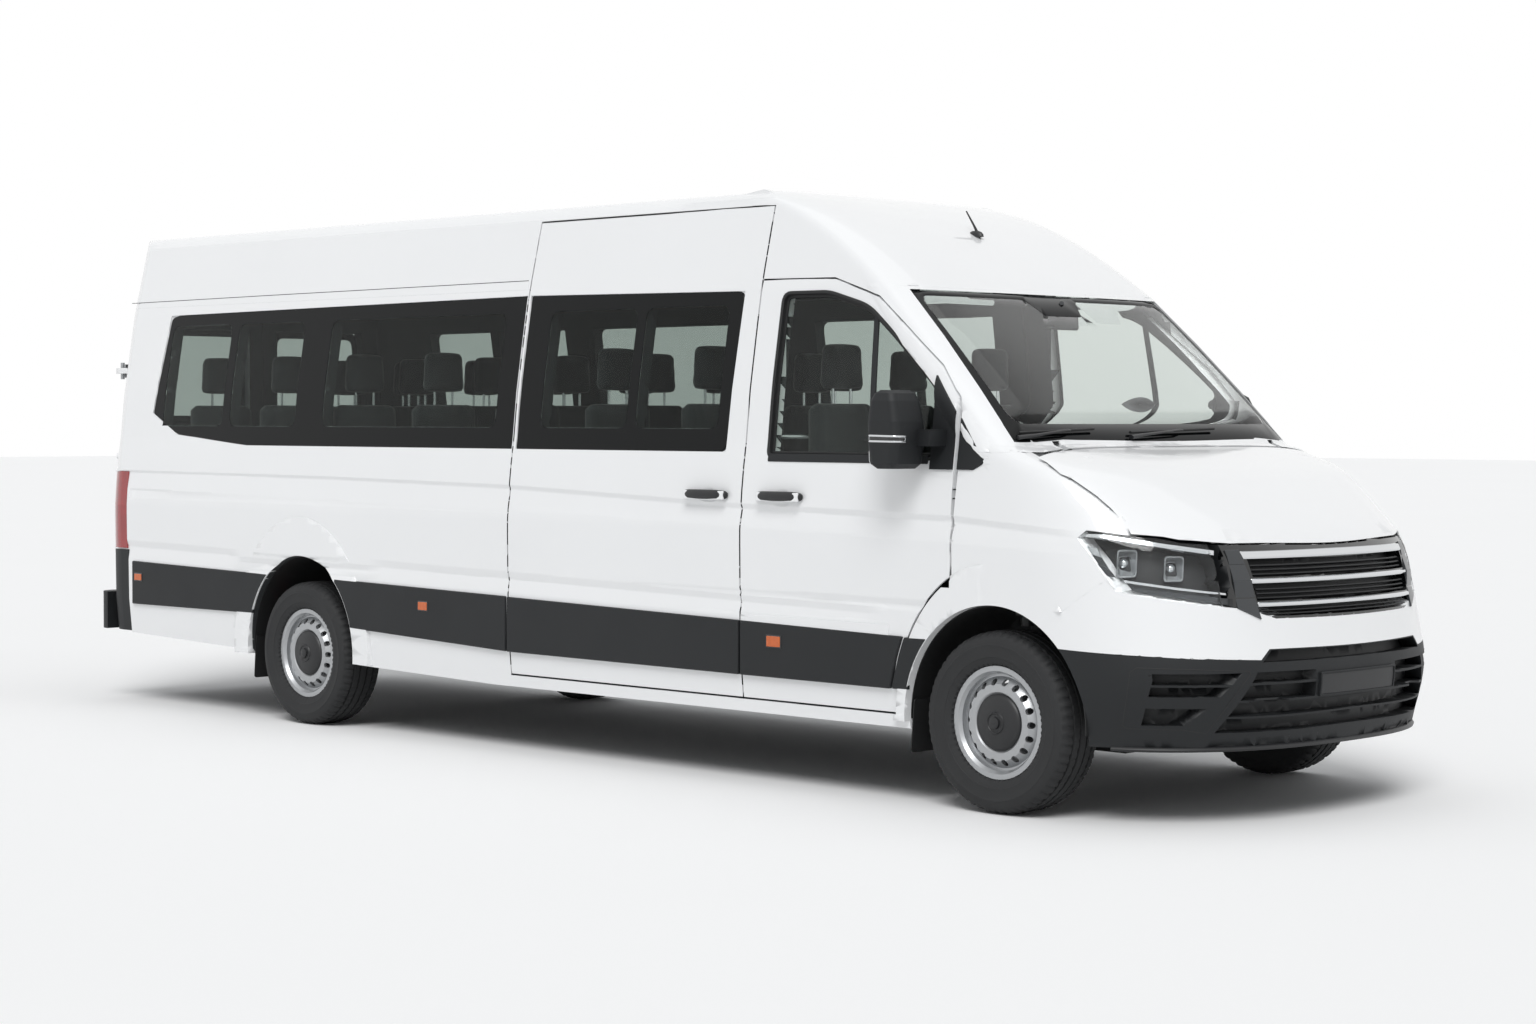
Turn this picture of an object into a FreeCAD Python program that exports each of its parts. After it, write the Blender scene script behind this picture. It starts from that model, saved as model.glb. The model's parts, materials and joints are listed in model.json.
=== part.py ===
"""Long high-roof passenger minibus: panels, glass, seats, running gear and moving pieces at real size.
X runs forward, Y to the left and Z up, with the origin on the ground under the middle of the vehicle."""
import FreeCAD, Part
import math
import os
import Sketcher
from FreeCAD import Placement, Rotation, Vector

SIZES = {
    # Whole vehicle.
    "length": 7391, "width": 2040, "height": 2550, "wheelbase": 4490, "front_overhang": 996,
    "overrun": 60, "seam": 0.3, "door_gap": 8, "wall": 70,
    # Body levels and corners.
    "sill_height": 300, "belt_height": 1425, "header_height": 2072, "screen_base_ahead": 120,
    "screen_travel": 710, "brow_length": 1360, "nose_corner": 796, "rear_reach": 1825, "rear_corner": 200,
    "roof_edge_half": 700, "roof_edge_drop": 50, "gutter_half": 800, "gutter_drop": 110,
    # Panel lines, measured behind or ahead of the front axle.
    "front_door_front": 212, "front_door_back": 1370, "front_door_top": 2108, "door_bottom": 360,
    "pillar_foot": 1400,
    "slide_door_back": 2880, "slide_door_top": 2425, "roof_seam_height": 2118,
    # Glass.
    "glass_inset": 4, "glass_thickness": 6, "band_recess": 11, "band_bottom": 1388, "band_top": 2090,
    "pane_bottom": 1486, "pane_top": 2012,
    # Wheel arches.
    "arch_half": 440, "front_arch_rise": 455, "rear_arch_rise": 486, "flare_half": 500,
    "front_flare_rise": 615, "rear_flare_half": 560, "rear_flare_rise": 680, "flare_proud": 5,
    # Wheels and hubs.
    "tyre_diameter": 712, "tyre_width": 235, "rim_diameter": 406, "rim_flange": 440, "half_track": 883,
    "steer_pivot_inboard": 90, "hub_radius": 60, "tyre_crown": 8, "rim_width": 180, "disc_proud": 70,
    "disc_thickness": 14, "hole_count": 18, "hole_circle": 157, "hole_radius": 13,
    # Hinges.
    "hinge_inside": 32, "hinge_behind": 20, "hinge_pin_radius": 8, "hinge_eye_radius": 14,
    "hinge_height": 30, "hinge_room": 5, "running_gap": 0.08, "swing_room": 44, "swing_base": 870,
    "arch_gap": 15, "edge_skin": 10, "edge_setback": 38,
    "low_hinge_height": 990, "high_hinge_height": 1235, "hinge_arm_reach": 95, "hinge_arm_back": 62,
    "rear_hinge_half": 850, "rear_hinge_behind": 20, "rear_low_hinge": 1320, "rear_high_hinge": 1783,
    "bonnet_hinge_ahead": 60, "bonnet_hinge_height": 1372, "bonnet_hinge_half": 720, "bonnet_back_ahead": 150,
    "bonnet_back_gap": 18, "bulkhead_half": 878,
    # Rear doors and lamps.
    "rear_door_half": 835, "rear_door_bottom": 600, "rear_door_top": 2420, "lamp_bottom": 829, "lamp_top": 1240,
    "lamp_reach": 258, "rear_bumper_top": 585, "rear_bumper_bottom": 385,
    # Cladding and creases.
    "cladding_bottom": 500, "cladding_top": 710, "cladding_proud": 6, "ledge_height": 790, "crease_height": 1142,
    "ledge_depth": 12,
    # Nose: grille, intakes and the pad for the plate.
    "grille_half": 612, "bar_half": 520, "grille_depth": 35, "intake_depth": 45, "plate_half": 262,
    "pod_half": 888, "slat": 8,
    # Door handles and mirrors.
    "handle_length": 240, "handle_tall": 38, "handle_proud": 30, "handle_bar": 16, "handle_height": 1205,
    "handle_behind": 1140, "slide_handle_behind": 1578, "cup_radius": 62, "cup_depth": 12,
    "mirror_back": 480, "mirror_front": 318, "mirror_inside": 1022, "mirror_outside": 1213,
    "mirror_bottom": 1333, "mirror_top": 1640, "sail_proud": 8, "mirror_arm_low": 1421, "mirror_arm_high": 1487,
    # Floor, frame and running gear.
    "floor_top": 680, "floor_thickness": 40, "rail_half": 415, "rail_width": 70, "rail_bottom": 500,
    "cross_count": 7, "king_pin_radius": 10, "upright_radius": 28, "liner_thickness": 4, "liner_inner": 548,
    # Seats.
    "spindle_radius": 38, "brake_inboard": 30, "brake_radius": 150, "brake_thickness": 22,
    "low_pin_height": 262, "upright_top": 520, "high_pin_height": 722, "pin_eye_height": 36, "pin_depth": 40,
    "neck_inboard": 52, "rail_ahead": 620, "rail_rear_short": 160,
    "seat_rows": 7, "row_pitch": 634, "first_row_back": 1960, "seat_width": 440, "cushion_length": 440,
    "cushion_thickness": 110, "cushion_top": 1120, "back_thickness": 90, "back_top": 1710, "headrest_top": 1860,
    "headrest_width": 250, "window_seat_half": 640, "aisle_seat": 190, "cab_seat": 490, "cab_seat_back": 1330,
}

doc = FreeCAD.newDocument("Minibus")
sheet = doc.addObject("Spreadsheet::Sheet", "Sizes")
for row, (alias, value) in enumerate(SIZES.items(), start=1):
    sheet.set(f"A{row}", alias)
    sheet.set(f"B{row}", str(value))
    sheet.setAlias(f"B{row}", alias)
doc.recompute()


def size(alias):
    """A driving size read back from the sheet."""
    return float(getattr(sheet, alias))


LENGTH = size("length")
HALF_WIDTH = size("width") / 2
AXLE_X = LENGTH / 2 - size("front_overhang")
REAR_AXLE_X = AXLE_X - size("wheelbase")
REAR_X = REAR_AXLE_X - size("rear_reach")
OVERRUN = size("overrun")
GAP = size("door_gap")
SEAM = size("seam")
WALL = size("wall")
BELT = size("belt_height")
HEADER = size("header_height")
HEIGHT = size("height")
SCREEN_X = AXLE_X + size("screen_base_ahead")
HEADER_X = SCREEN_X - size("screen_travel")
PARTS = []


def keep(label, shape):
    """Stores a finished solid or group of solids under its node's name."""
    feature = doc.addObject("Part::Feature", label)
    feature.Label = label
    feature.Shape = shape
    feature.Placement = Placement()
    PARTS.append(feature)
    return feature


# Levels of the body: height, nose, width and corner as shares, then the fullness of the plan curve.
LOWER_SHARES = (
    (0.2105, 0.954, 0.966, 1.00, 2.55), (0.393, 1.000, 0.990, 1.00, 2.55),
    (0.505, 0.972, 0.992, 1.00, 2.55), (0.6316, 0.934, 0.994, 0.99, 2.55),
    (0.7018, 0.904, 0.995, 0.97, 2.55), (0.7439, 0.861, 0.995, 0.94, 2.60),
    (0.800, 0.765, 0.990, 0.88, 2.70), (0.8632, 0.6275, 0.983, 0.76, 3.00),
    (0.9263, 0.470, 0.9735, 0.62, 3.40), (1.000, 0.1205, 0.9588, 0.377, 4.00),
)
SCREEN_SHARES = (
    (0.00, 0.000, 0.9588, 0.377, 4.00), (0.35, 0.331, 0.9353, 0.352, 4.10),
    (0.67, 0.651, 0.9039, 0.300, 4.30), (1.00, 1.000, 0.8706, 0.250, 4.50),
)
BROW_SHARES = (
    (0.000, 0.000, 0.8706, 0.250, 4.5), (0.207, 0.096, 0.8490, 0.26, 4.5),
    (0.406, 0.198, 0.8275, 0.275, 4.5), (0.577, 0.302, 0.8088, 0.29, 4.5),
    (0.7155, 0.404, 0.7930, 0.30, 4.5), (0.818, 0.507, 0.7814, 0.31, 4.5),
    (0.891, 0.610, 0.7735, 0.32, 4.5), (0.958, 0.757, 0.7657, 0.34, 4.5),
    (1.025, 1.000, 0.7588, 0.35, 4.5),
)
PLAN_ANGLES = (-90, -68, -42, 0, 42, 68, 90)


def plan_point(angle, nose_x, half, corner, fullness, height):
    """One point of the nose's plan curve, a superellipse from the flank to the centre line."""
    sine = math.sin(math.radians(angle))
    cosine = 0.0 if abs(angle) == 90 else math.cos(math.radians(angle))
    back = corner * (1 - cosine ** (2 / fullness))
    across = math.copysign(abs(sine) ** (2 / fullness), sine) * half
    return Vector(nose_x - back, across, height)


def plan_outline(nose_x, half, corner, fullness, height, inset):
    """A closed outline at one height: curved nose, straight flanks, rounded rear corners."""
    points = [plan_point(a, nose_x, half, corner, fullness, height) for a in PLAN_ANGLES]
    edges = [Part.Arc(*points[i:i + 3]).toShape() for i in (0, 2, 4)]
    rear = REAR_X + inset
    radius = size("rear_corner") - inset
    bow = radius * (1 - math.sqrt(0.5))
    flank_x = nose_x - corner
    left, right = Vector(rear + radius, half, height), Vector(rear + radius, -half, height)
    rear_left, rear_right = Vector(rear, half - radius, height), Vector(rear, radius - half, height)
    edges.append(Part.makeLine(Vector(flank_x, half, height), left))
    edges.append(Part.Arc(left, Vector(rear + bow, half - bow, height), rear_left).toShape())
    edges.append(Part.makeLine(rear_left, rear_right))
    edges.append(Part.Arc(rear_right, Vector(rear + bow, bow - half, height), right).toShape())
    edges.append(Part.makeLine(right, Vector(flank_x, -half, height)))
    return Part.Wire(edges)


def body_levels():
    """The three stacks of levels: flanks and nose, windscreen, brow and roof."""
    overhang, corner = size("front_overhang"), size("nose_corner")
    lower = [(BELT * z, AXLE_X + overhang * x, w, c, n) for z, x, w, c, n in LOWER_SHARES]
    screen = [(BELT + (HEADER - BELT) * z, SCREEN_X - size("screen_travel") * x, w, c, n)
              for z, x, w, c, n in SCREEN_SHARES]
    brow = [(HEADER + (HEIGHT - HEADER) * z, HEADER_X - size("brow_length") * x, w, c, n)
            for z, x, w, c, n in BROW_SHARES]
    return [[(z, x, HALF_WIDTH * w, corner * c, n) for z, x, w, c, n in stack]
            for stack in (lower, screen, brow)]


def crown_block(inset):
    """Everything under the crowned roof, as a long prism."""
    start = -LENGTH / 2 - OVERRUN

    def at(y, z):
        return Vector(start, y, z)

    edge, gutter = size("roof_edge_half"), size("gutter_half") - inset * 0.6
    edge_z, gutter_z = HEIGHT - size("roof_edge_drop") - inset, HEIGHT - size("gutter_drop") - inset
    mid_y, mid_z = (edge + gutter) / 2 + edge / 50, (edge_z + gutter_z) / 2 + edge / 90
    out, low, fall = HALF_WIDTH + 4 * OVERRUN, OVERRUN, gutter_z - 2 * OVERRUN
    edges = [Part.Arc(at(edge, edge_z), at(0, HEIGHT - inset), at(-edge, edge_z)).toShape(),
             Part.Arc(at(-edge, edge_z), at(-mid_y, mid_z), at(-gutter, gutter_z)).toShape()]
    corners = [at(-gutter, gutter_z), at(-out, fall), at(-out, low), at(out, low), at(out, fall),
               at(gutter, gutter_z)]
    edges += [Part.makeLine(a, b) for a, b in zip(corners, corners[1:])]
    edges.append(Part.Arc(at(gutter, gutter_z), at(mid_y, mid_z), at(edge, edge_z)).toShape())
    return Part.Face(Part.Wire(edges)).extrude(Vector(LENGTH + 2 * OVERRUN, 0, 0))


def body_block(inset=0.0):
    """The closed outer form of the body, or one that lies a given distance inside it."""
    stacks = []
    for number, levels in enumerate(body_levels()):
        wires = []
        for place, (height, nose_x, half, corner, fullness) in enumerate(levels):
            lower = OVERRUN if inset and not number and not place else 0
            wires.append(plan_outline(nose_x - inset, half - inset, corner, fullness, height - lower, inset))
        stacks.append(Part.makeLoft(wires, True, True))
    return stacks[0].fuse(stacks[1:]).common(crown_block(inset))


def ahead(distance):
    """X of a point ahead of the front axle; a negative distance lies behind it."""
    return AXLE_X + distance


def side_prism(points, side=0, grow=0.0):
    """A prism through the body with a side-view outline; side is -1 right, 1 left or 0 both."""
    corners = [Vector(ahead(x), 0, z) for x, z in points]
    wire = Part.makePolygon(corners + corners[:1])
    if grow:
        wire = wire.makeOffset2D(grow, 2)
    reach = HALF_WIDTH + 4 * OVERRUN
    face = Part.Face(wire)
    if side:
        return face.extrude(Vector(0, side * reach, 0))
    face.translate(Vector(0, -reach, 0))
    return face.extrude(Vector(0, 2 * reach, 0))


def arch_prism(axle_x, half, rise, grow=0.0):
    """An elliptical prism about an axle, right through the body."""
    centre = Vector(axle_x, 0, size("tyre_diameter") / 2)
    long, short = rise + grow, half + grow
    direction = Vector(0, 0, 1)
    if short > long:
        long, short, direction = short, long, Vector(1, 0, 0)
    curve = Part.Ellipse(centre + direction * long, centre + Vector(direction.z, 0, direction.x) * short, centre)
    face = Part.Face(Part.Wire(curve.toShape()))
    reach = HALF_WIDTH + 4 * OVERRUN
    face.translate(Vector(0, -reach, 0))
    return face.extrude(Vector(0, 2 * reach, 0))


def front_prism(points, back, front, grow=0.0):
    """A prism along the vehicle with a front-view outline between two distances from the axle."""
    corners = [Vector(ahead(back), y, z) for y, z in points]
    wire = Part.makePolygon(corners + corners[:1])
    if grow:
        wire = wire.makeOffset2D(grow, 2)
    return Part.Face(wire).extrude(Vector(front - back, 0, 0))


def mirrored(shape):
    """The same piece on the other side of the vehicle."""
    return shape.mirror(Vector(), Vector(0, 1, 0))


def half_space(side):
    """Everything on one side of the centre line."""
    reach = HALF_WIDTH + 4 * OVERRUN
    low = -reach if side < 0 else 0
    return Part.makeBox(LENGTH + 4 * OVERRUN, reach, HEIGHT + OVERRUN,
                        Vector(-LENGTH / 2 - 2 * OVERRUN, low, 0))


outer = body_block()
inner = body_block(WALL)
shell = outer.cut(inner)

def traced(shares, long, tall):
    """An outline from shares of two sizes."""
    return [(long * across, tall * high) for across, high in shares]


# Side-view outlines of the panels, in distances ahead of the front axle and heights. Those of the doors follow
# the wheelbase and the whole height, those of the nose its overhang and the belt.
door_front, door_back = -size("front_door_front"), -size("front_door_back")
bottom = size("door_bottom")
pillar_shares = ((-0.2129, 0.8239), (-0.1543, 0.7918), (-0.1205, 0.7463), (-0.0742, 0.6808), (-0.0501, 0.6314))
wheelbase, overhang = size("wheelbase"), size("front_overhang")
foot = size("pillar_foot")
FRONT_DOOR = [(door_back, bottom), (door_back, size("front_door_top"))] + traced(pillar_shares, wheelbase, HEIGHT)
FRONT_DOOR += [(door_front, foot), (door_front, bottom)]
slide_back, slide_top = -size("slide_door_back"), size("slide_door_top")
SLIDE_DOOR = [(slide_back, bottom), (slide_back, slide_top), (door_back - GAP, slide_top),
              (door_back - GAP, bottom)]
bonnet_shares = ((0.0402, 1.0021), (0.0884, 0.9846), (0.1928, 0.9537), (0.3153, 0.9130), (0.4177, 0.8674),
                 (0.4709, 0.8372), (0.5131, 0.8098), (0.5452, 0.7860), (0.5622, 0.7705), (0.6486, 0.7635),
                 (0.7801, 0.7396), (1.1044, 0.7354), (1.1044, 1.0526), (0.0402, 1.0526))
lamp_shares = ((0.5432, 0.6225), (0.5110, 0.6512), (0.4618, 0.7032), (0.3916, 0.7593), (0.4197, 0.7796),
               (0.4719, 0.7747), (0.5683, 0.7649), (0.6024, 0.7860), (1.1044, 0.7860), (1.1044, 0.5418),
               (0.9036, 0.5453), (0.8584, 0.5733), (0.7600, 0.5916))
cover_shares = ((0.1807, 0.4800), (0.5080, 0.6498), (0.5432, 0.6225), (0.7600, 0.5916), (0.8584, 0.5733),
                (0.9036, 0.5453), (1.1044, 0.5418), (1.1044, 0.4330), (0.9227, 0.4372), (0.8394, 0.4456),
                (0.6396, 0.4554), (0.3464, 0.4646), (0.1807, 0.4688))
bumper_shares = ((0.1807, 0.4688), (0.3464, 0.4646), (0.6396, 0.4554), (0.8394, 0.4456), (0.9227, 0.4372),
                 (1.1044, 0.4330), (1.1044, 0.1404), (0.1807, 0.1404))
BONNET, LAMPS, COVER, BUMPER = [traced(shares, overhang, BELT) for shares in
                                (bonnet_shares, lamp_shares, cover_shares, bumper_shares)]

roof_seam = size("roof_seam_height")
far_back = REAR_X - AXLE_X - OVERRUN
ROOF = [(far_back, roof_seam), (-900, roof_seam), (-640, HEADER - 6), (300, HEADER - 6), (300, HEIGHT + OVERRUN),
        (far_back, HEIGHT + OVERRUN)]
CAB = [(door_back, foot), (300, foot), (300, HEADER - 6), (-640, HEADER - 6),
       (-900, roof_seam), (door_back, roof_seam)]

front_arch = arch_prism(AXLE_X, size("arch_half"), size("front_arch_rise"))
rear_arch = arch_prism(REAR_AXLE_X, size("arch_half"), size("rear_arch_rise"))
front_flare = arch_prism(AXLE_X, size("flare_half"), size("front_flare_rise"))
rear_flare = arch_prism(REAR_AXLE_X, size("rear_flare_half"), size("rear_flare_rise"))


def flare(axle_x, opening, swell, half, rise):
    """The raised band round one wheel arch, a little proud of the flank, on both sides."""
    proud = HALF_WIDTH - size("flare_proud") - WALL
    band = swell.cut(opening)
    depth = Part.makeBox(2 * (half + OVERRUN), 2 * HALF_WIDTH, rise + size("tyre_diameter") / 2,
                         Vector(axle_x - half - OVERRUN, -HALF_WIDTH, size("sill_height") + OVERRUN / 2))
    core = Part.makeBox(LENGTH, 2 * proud, HEIGHT, Vector(-LENGTH / 2, -proud, 0))
    return band.common(depth).cut(core)


front_door_prism = side_prism(FRONT_DOOR).cut(front_flare)
front_door_room = side_prism(FRONT_DOOR, 0, GAP)
front_door_room = front_door_room.cut(arch_prism(AXLE_X, size("flare_half"), size("front_flare_rise"),
                                                 -size("arch_gap")))
slide_door_prism = side_prism(SLIDE_DOOR, -1)
slide_door_room = side_prism(SLIDE_DOOR, -1, GAP)
# Windscreen, side bands and door glass, as outlines seen from the front (y, z) or the side (x, z).
SCREEN_VIEW = [(-905, BELT + 15), (905, BELT + 15), (815, HEADER - 20), (-815, HEADER - 20)]
band_low, band_high = size("band_bottom"), size("band_top")
SLIDE_BAND = [(-1491, band_low), (-1469, band_high - 22), (slide_back + 12, band_high), (slide_back + 12, band_low)]
REAR_BAND = [(slide_back - 12, band_low), (slide_back - 12, band_high), (-5809, band_high - 20), (-5876, 1553),
             (-5633, 1440), (-5000, band_low)]
pane_low, pane_high = size("pane_bottom"), size("pane_top")
SLIDE_PANES = [(-2712, -2134), (-2075, -1557)]
REAR_PANES = [(-4372, -3030), (-5170, -4600), (-5780, -5236)]
DOOR_GLASS = [(-1236, 1372), (-1236, 2050), (-976, 2048), (-745, 1985), (-590, 1868), (-400, 1712), (-330, 1650),
              (-330, 1372)]
REAR_GLASS = [(90, 1500), (735, 1500), (690, 2020), (90, 2020)]
rear_half, rear_low, rear_high = size("rear_door_half"), size("rear_door_bottom"), size("rear_door_top")
REAR_DOOR = [(GAP / 2, rear_low), (rear_half, rear_low), (rear_half, 1400), (750, 2300), (700, rear_high - 40),
             (GAP / 2, rear_high)]

glass_top = body_block(size("glass_inset"))
glass_under = body_block(size("glass_inset") + size("glass_thickness"))
recess_floor = body_block(size("glass_inset") + size("glass_thickness") + SEAM)
glass_skin = glass_top.cut(glass_under)
recess_skin = outer.cut(recess_floor)


def panes(openings, side, grow=0.0):
    """The clear panes of a side band, as prisms through the wall."""
    blocks = [side_prism([(a, pane_low), (a, pane_high), (b, pane_high), (b, pane_low)], side, grow)
              for a, b in openings]
    return blocks[0].fuse(blocks[1:]) if len(blocks) > 1 else blocks[0]


def v_cut(height, low, high, side):
    """A long shallow channel along one flank, deepest at the given height."""
    depth = HALF_WIDTH - size("flare_proud") - size("ledge_depth")
    reach = HALF_WIDTH + 20
    start = REAR_X + size("rear_corner") + 80
    points = [(depth, height), (reach, height + high), (reach, height - low)]
    wire = Part.makePolygon([Vector(start, side * y, z) for y, z in points + points[:1]])
    return Part.Face(wire).extrude(Vector(ahead(door_front) - start, 0, 0))


channels = {side: v_cut(size("ledge_height"), 120, 120, side).fuse(v_cut(size("crease_height"), 190, 90, side))
            for side in (-1, 1)}
screen_room = front_prism(SCREEN_VIEW, -900, 300)
rear_room = front_prism(REAR_DOOR, -size("wheelbase") - size("rear_reach") - OVERRUN,
                        -size("wheelbase") - size("rear_reach") + 2 * WALL, GAP)
rear_room = rear_room.fuse(mirrored(rear_room))
bonnet_room = side_prism(BONNET, 0, GAP)
bonnet_back = ahead(size("bonnet_back_ahead"))


def behind(edge_x):
    """Everything behind a cross plane."""
    return Part.makeBox(LENGTH, 2 * LENGTH, HEIGHT, Vector(edge_x - LENGTH, -LENGTH, 0))


behind_bonnet = behind(bonnet_back)
cowl_reach = behind(bonnet_back - size("bonnet_back_gap"))
lamp_prism = side_prism(LAMPS)
cover_prism = side_prism(COVER)
bumper_prism = side_prism(BUMPER)
nose_room = side_prism(LAMPS, 0, SEAM).fuse([side_prism(COVER, 0, SEAM), side_prism(BUMPER, 0, SEAM)])

# Hinge axes of the front doors, in plan.
hinge_x = ahead(door_front) - size("hinge_behind")
hinge_y = HALF_WIDTH - size("flare_proud") - size("hinge_inside")
swing_clear = Part.makeCylinder(size("swing_room"), HEIGHT, Vector(hinge_x, -hinge_y, size("swing_base")))
door_swing = Part.makeCylinder(-door_back + door_front - size("hinge_behind") + 3, HEIGHT,
                               Vector(hinge_x, -hinge_y, 0))


def hinge_levels():
    """Heights of the two hinges of a front door."""
    return size("low_hinge_height"), size("high_hinge_height")


def hinge_pocket(level):
    """The room inside the door's front edge in which the fixed arm's eye sits."""
    tall = size("hinge_height") + 2 * size("hinge_room")
    return Part.makeBox(24 + 50, 16 + 120, tall, Vector(hinge_x - 24, -hinge_y - 16, level - tall / 2))


def hinge_arm(level):
    """A fixed arm that reaches round the door's edge to an eye on the hinge axis."""
    tall, eye = size("hinge_height"), size("hinge_eye_radius")
    reach, back = size("hinge_arm_reach"), size("hinge_arm_back")
    corner = Vector(hinge_x, -hinge_y, level - tall / 2)
    arm = Part.makeBox(2 * eye, reach, tall, corner + Vector(-eye, 0, 0))
    arm = arm.fuse(Part.makeCylinder(eye, tall, corner))
    arm = arm.fuse(Part.makeBox(back + 90, reach - back, tall, corner + Vector(-eye, back, 0)))
    root = size("swing_room") + GAP
    arm = arm.fuse(Part.makeBox(back + 90 - eye - root, reach - 30, tall, corner + Vector(root, 30, 0)))
    return arm.cut(Part.makeCylinder(size("hinge_pin_radius") + size("running_gap"), tall, corner))


arms = [hinge_arm(level) for level in hinge_levels()]
pockets = [hinge_pocket(level) for level in hinge_levels()]
pins = [Part.makeCylinder(size("hinge_pin_radius"), size("hinge_height") + 2 * size("hinge_room"),
                          Vector(hinge_x, -hinge_y, level - size("hinge_height") / 2 - size("hinge_room")))
        for level in hinge_levels()]

def add_handle(door, behind_axle):
    """A door with a shallow round cup and a bar across it, on the right side of the body."""
    cup, sag, proud = size("cup_radius"), size("cup_depth"), size("handle_proud")
    ball = (cup ** 2 + sag ** 2) / (2 * sag)
    tall, bar, half = size("handle_tall"), size("handle_bar"), size("handle_length") / 2
    x, z = ahead(-behind_axle), size("handle_height")
    skin_y = HALF_WIDTH - size("flare_proud") - size("ledge_depth") / 2
    door = door.cut(Part.makeSphere(ball, Vector(x, -skin_y - ball + sag, z)))
    grip = Part.makeBox(2 * half, bar, tall, Vector(x - half, -skin_y - proud, z - tall / 2))
    grip = grip.makeFillet(bar / 3, grip.Edges)
    feet = [Part.makeCylinder(tall / 3, proud + bar, Vector(x + place, -skin_y - proud + bar / 2, z), Vector(0, 1, 0))
            for place in (tall / 2 - half, half - tall / 2)]
    return door.fuse([grip] + feet)


# Front doors, cut from the wall of the body, with their cladding fused on.
cladding_skin = body_block(-size("cladding_proud")).cut(outer)
clad_low, clad_high = size("cladding_bottom"), size("cladding_top")


def cladding(start, end):
    """A strip of the cladding along both flanks between two distances from the front axle."""
    strip = side_prism([(start, clad_low), (start, clad_high), (end, clad_high), (end, clad_low)])
    return cladding_skin.common(strip)


door_right = shell.common(front_door_prism).common(half_space(-1)).common(door_swing)
door_right = door_right.cut(channels[-1]).cut(side_prism(DOOR_GLASS, -1))
arch_edge = arch_prism(AXLE_X, size("flare_half"), size("front_flare_rise"), size("edge_setback"))
door_right = door_right.cut(arch_edge.common(body_block(size("edge_skin"))))
door_right = door_right.fuse(cladding(door_back + 4, -size("flare_half") - 30).common(half_space(-1)))
door_right = door_right.cut(pockets[0]).cut(pockets[1]).fuse(pins)
door_right = add_handle(door_right, size("handle_behind"))
keep("door_right", door_right)
keep("door_left", mirrored(door_right))
inside_glass = body_block(20).cut(body_block(25))
door_pane = inside_glass.common(side_prism(DOOR_GLASS, -1, -SEAM))
keep("door_glass_right", door_pane)
keep("door_glass_left", mirrored(door_pane))

# Sliding door, a fixed piece here, with its band of glass let into the flank.
slide_band = side_prism(SLIDE_BAND, -1)
sliding = shell.common(slide_door_prism).cut(channels[-1]).cut(recess_skin.common(slide_band))
sliding = sliding.cut(panes(SLIDE_PANES, -1))
latch_reach, latch_tall = 40, 60
for height in (640, 1200, 1320):
    sliding = sliding.fuse(Part.makeBox(latch_reach + GAP - SEAM, 30, latch_tall,
                                        Vector(ahead(slide_back) - GAP + SEAM, 40 - HALF_WIDTH, height)))
keep("sliding_door", add_handle(sliding, size("slide_handle_behind")))

# Flanks behind the front doors.
FLANK = [(far_back, size("rear_bumper_bottom")), (-size("wheelbase") - size("arch_half"), 345),
         (-size("flare_half"), size("sill_height") - OVERRUN), (-size("flare_half"), bottom - GAP),
         (door_back, bottom - GAP), (door_back, roof_seam - SEAM), (far_back, roof_seam - SEAM)]
rear_edge = -size("wheelbase") - size("rear_reach")
rear_bumper_prism = side_prism([(far_back, 200), (rear_edge + 270, 200), (rear_edge + 270, size("lamp_bottom") - 7),
                                (far_back, size("lamp_bottom") - 7)])
lamp_back = side_prism([(far_back, size("lamp_bottom")), (rear_edge + size("lamp_reach"), size("lamp_bottom")),
                        (rear_edge + size("lamp_reach"), size("lamp_top")), (far_back, size("lamp_top"))])
lamp_side = Part.makeBox(LENGTH, HALF_WIDTH, HEIGHT, Vector(-LENGTH / 2, rear_half + GAP + 12, 0))
lamp_zone = lamp_back.common(lamp_side.fuse(mirrored(lamp_side)))
rear_flares = flare(REAR_AXLE_X, rear_arch, rear_flare, size("rear_flare_half"), size("rear_flare_rise"))
flank_wall = shell.common(side_prism(FLANK)).cut(front_door_room).cut(rear_arch).cut(rear_room)
flank_wall = flank_wall.cut(rear_bumper_prism.fuse(lamp_zone))
bands_left = recess_skin.common(side_prism(SLIDE_BAND, 1).fuse(side_prism(REAR_BAND, 1)))
side_left = flank_wall.common(half_space(1)).fuse(rear_flares.common(half_space(1))).cut(channels[1])
side_left = side_left.cut(bands_left).cut(panes(SLIDE_PANES + REAR_PANES, 1))
side_right = flank_wall.common(half_space(-1)).cut(slide_door_room).fuse(rear_flares.common(half_space(-1)))
side_right = side_right.cut(channels[-1]).cut(recess_skin.common(side_prism(REAR_BAND, -1)))
side_right = side_right.cut(panes(REAR_PANES, -1))
bands = [side_prism(SLIDE_BAND, side, -SEAM) for side in (-1, 1)] + [side_prism(REAR_BAND, side, -SEAM)
                                                                      for side in (-1, 1)]
keep("side_windows", Part.makeCompound([glass_skin.common(band) for band in bands]))
tail_lamps = shell.common(lamp_back).common(lamp_zone)
keep("tail_lamps", tail_lamps)
clad = Part.makeCompound([cladding(door_back - 12, -size("wheelbase") + size("rear_flare_half") + 6),
                          cladding(-size("wheelbase") - size("rear_flare_half") - 6, rear_edge + 280)])
keep("side_cladding", clad)

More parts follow.
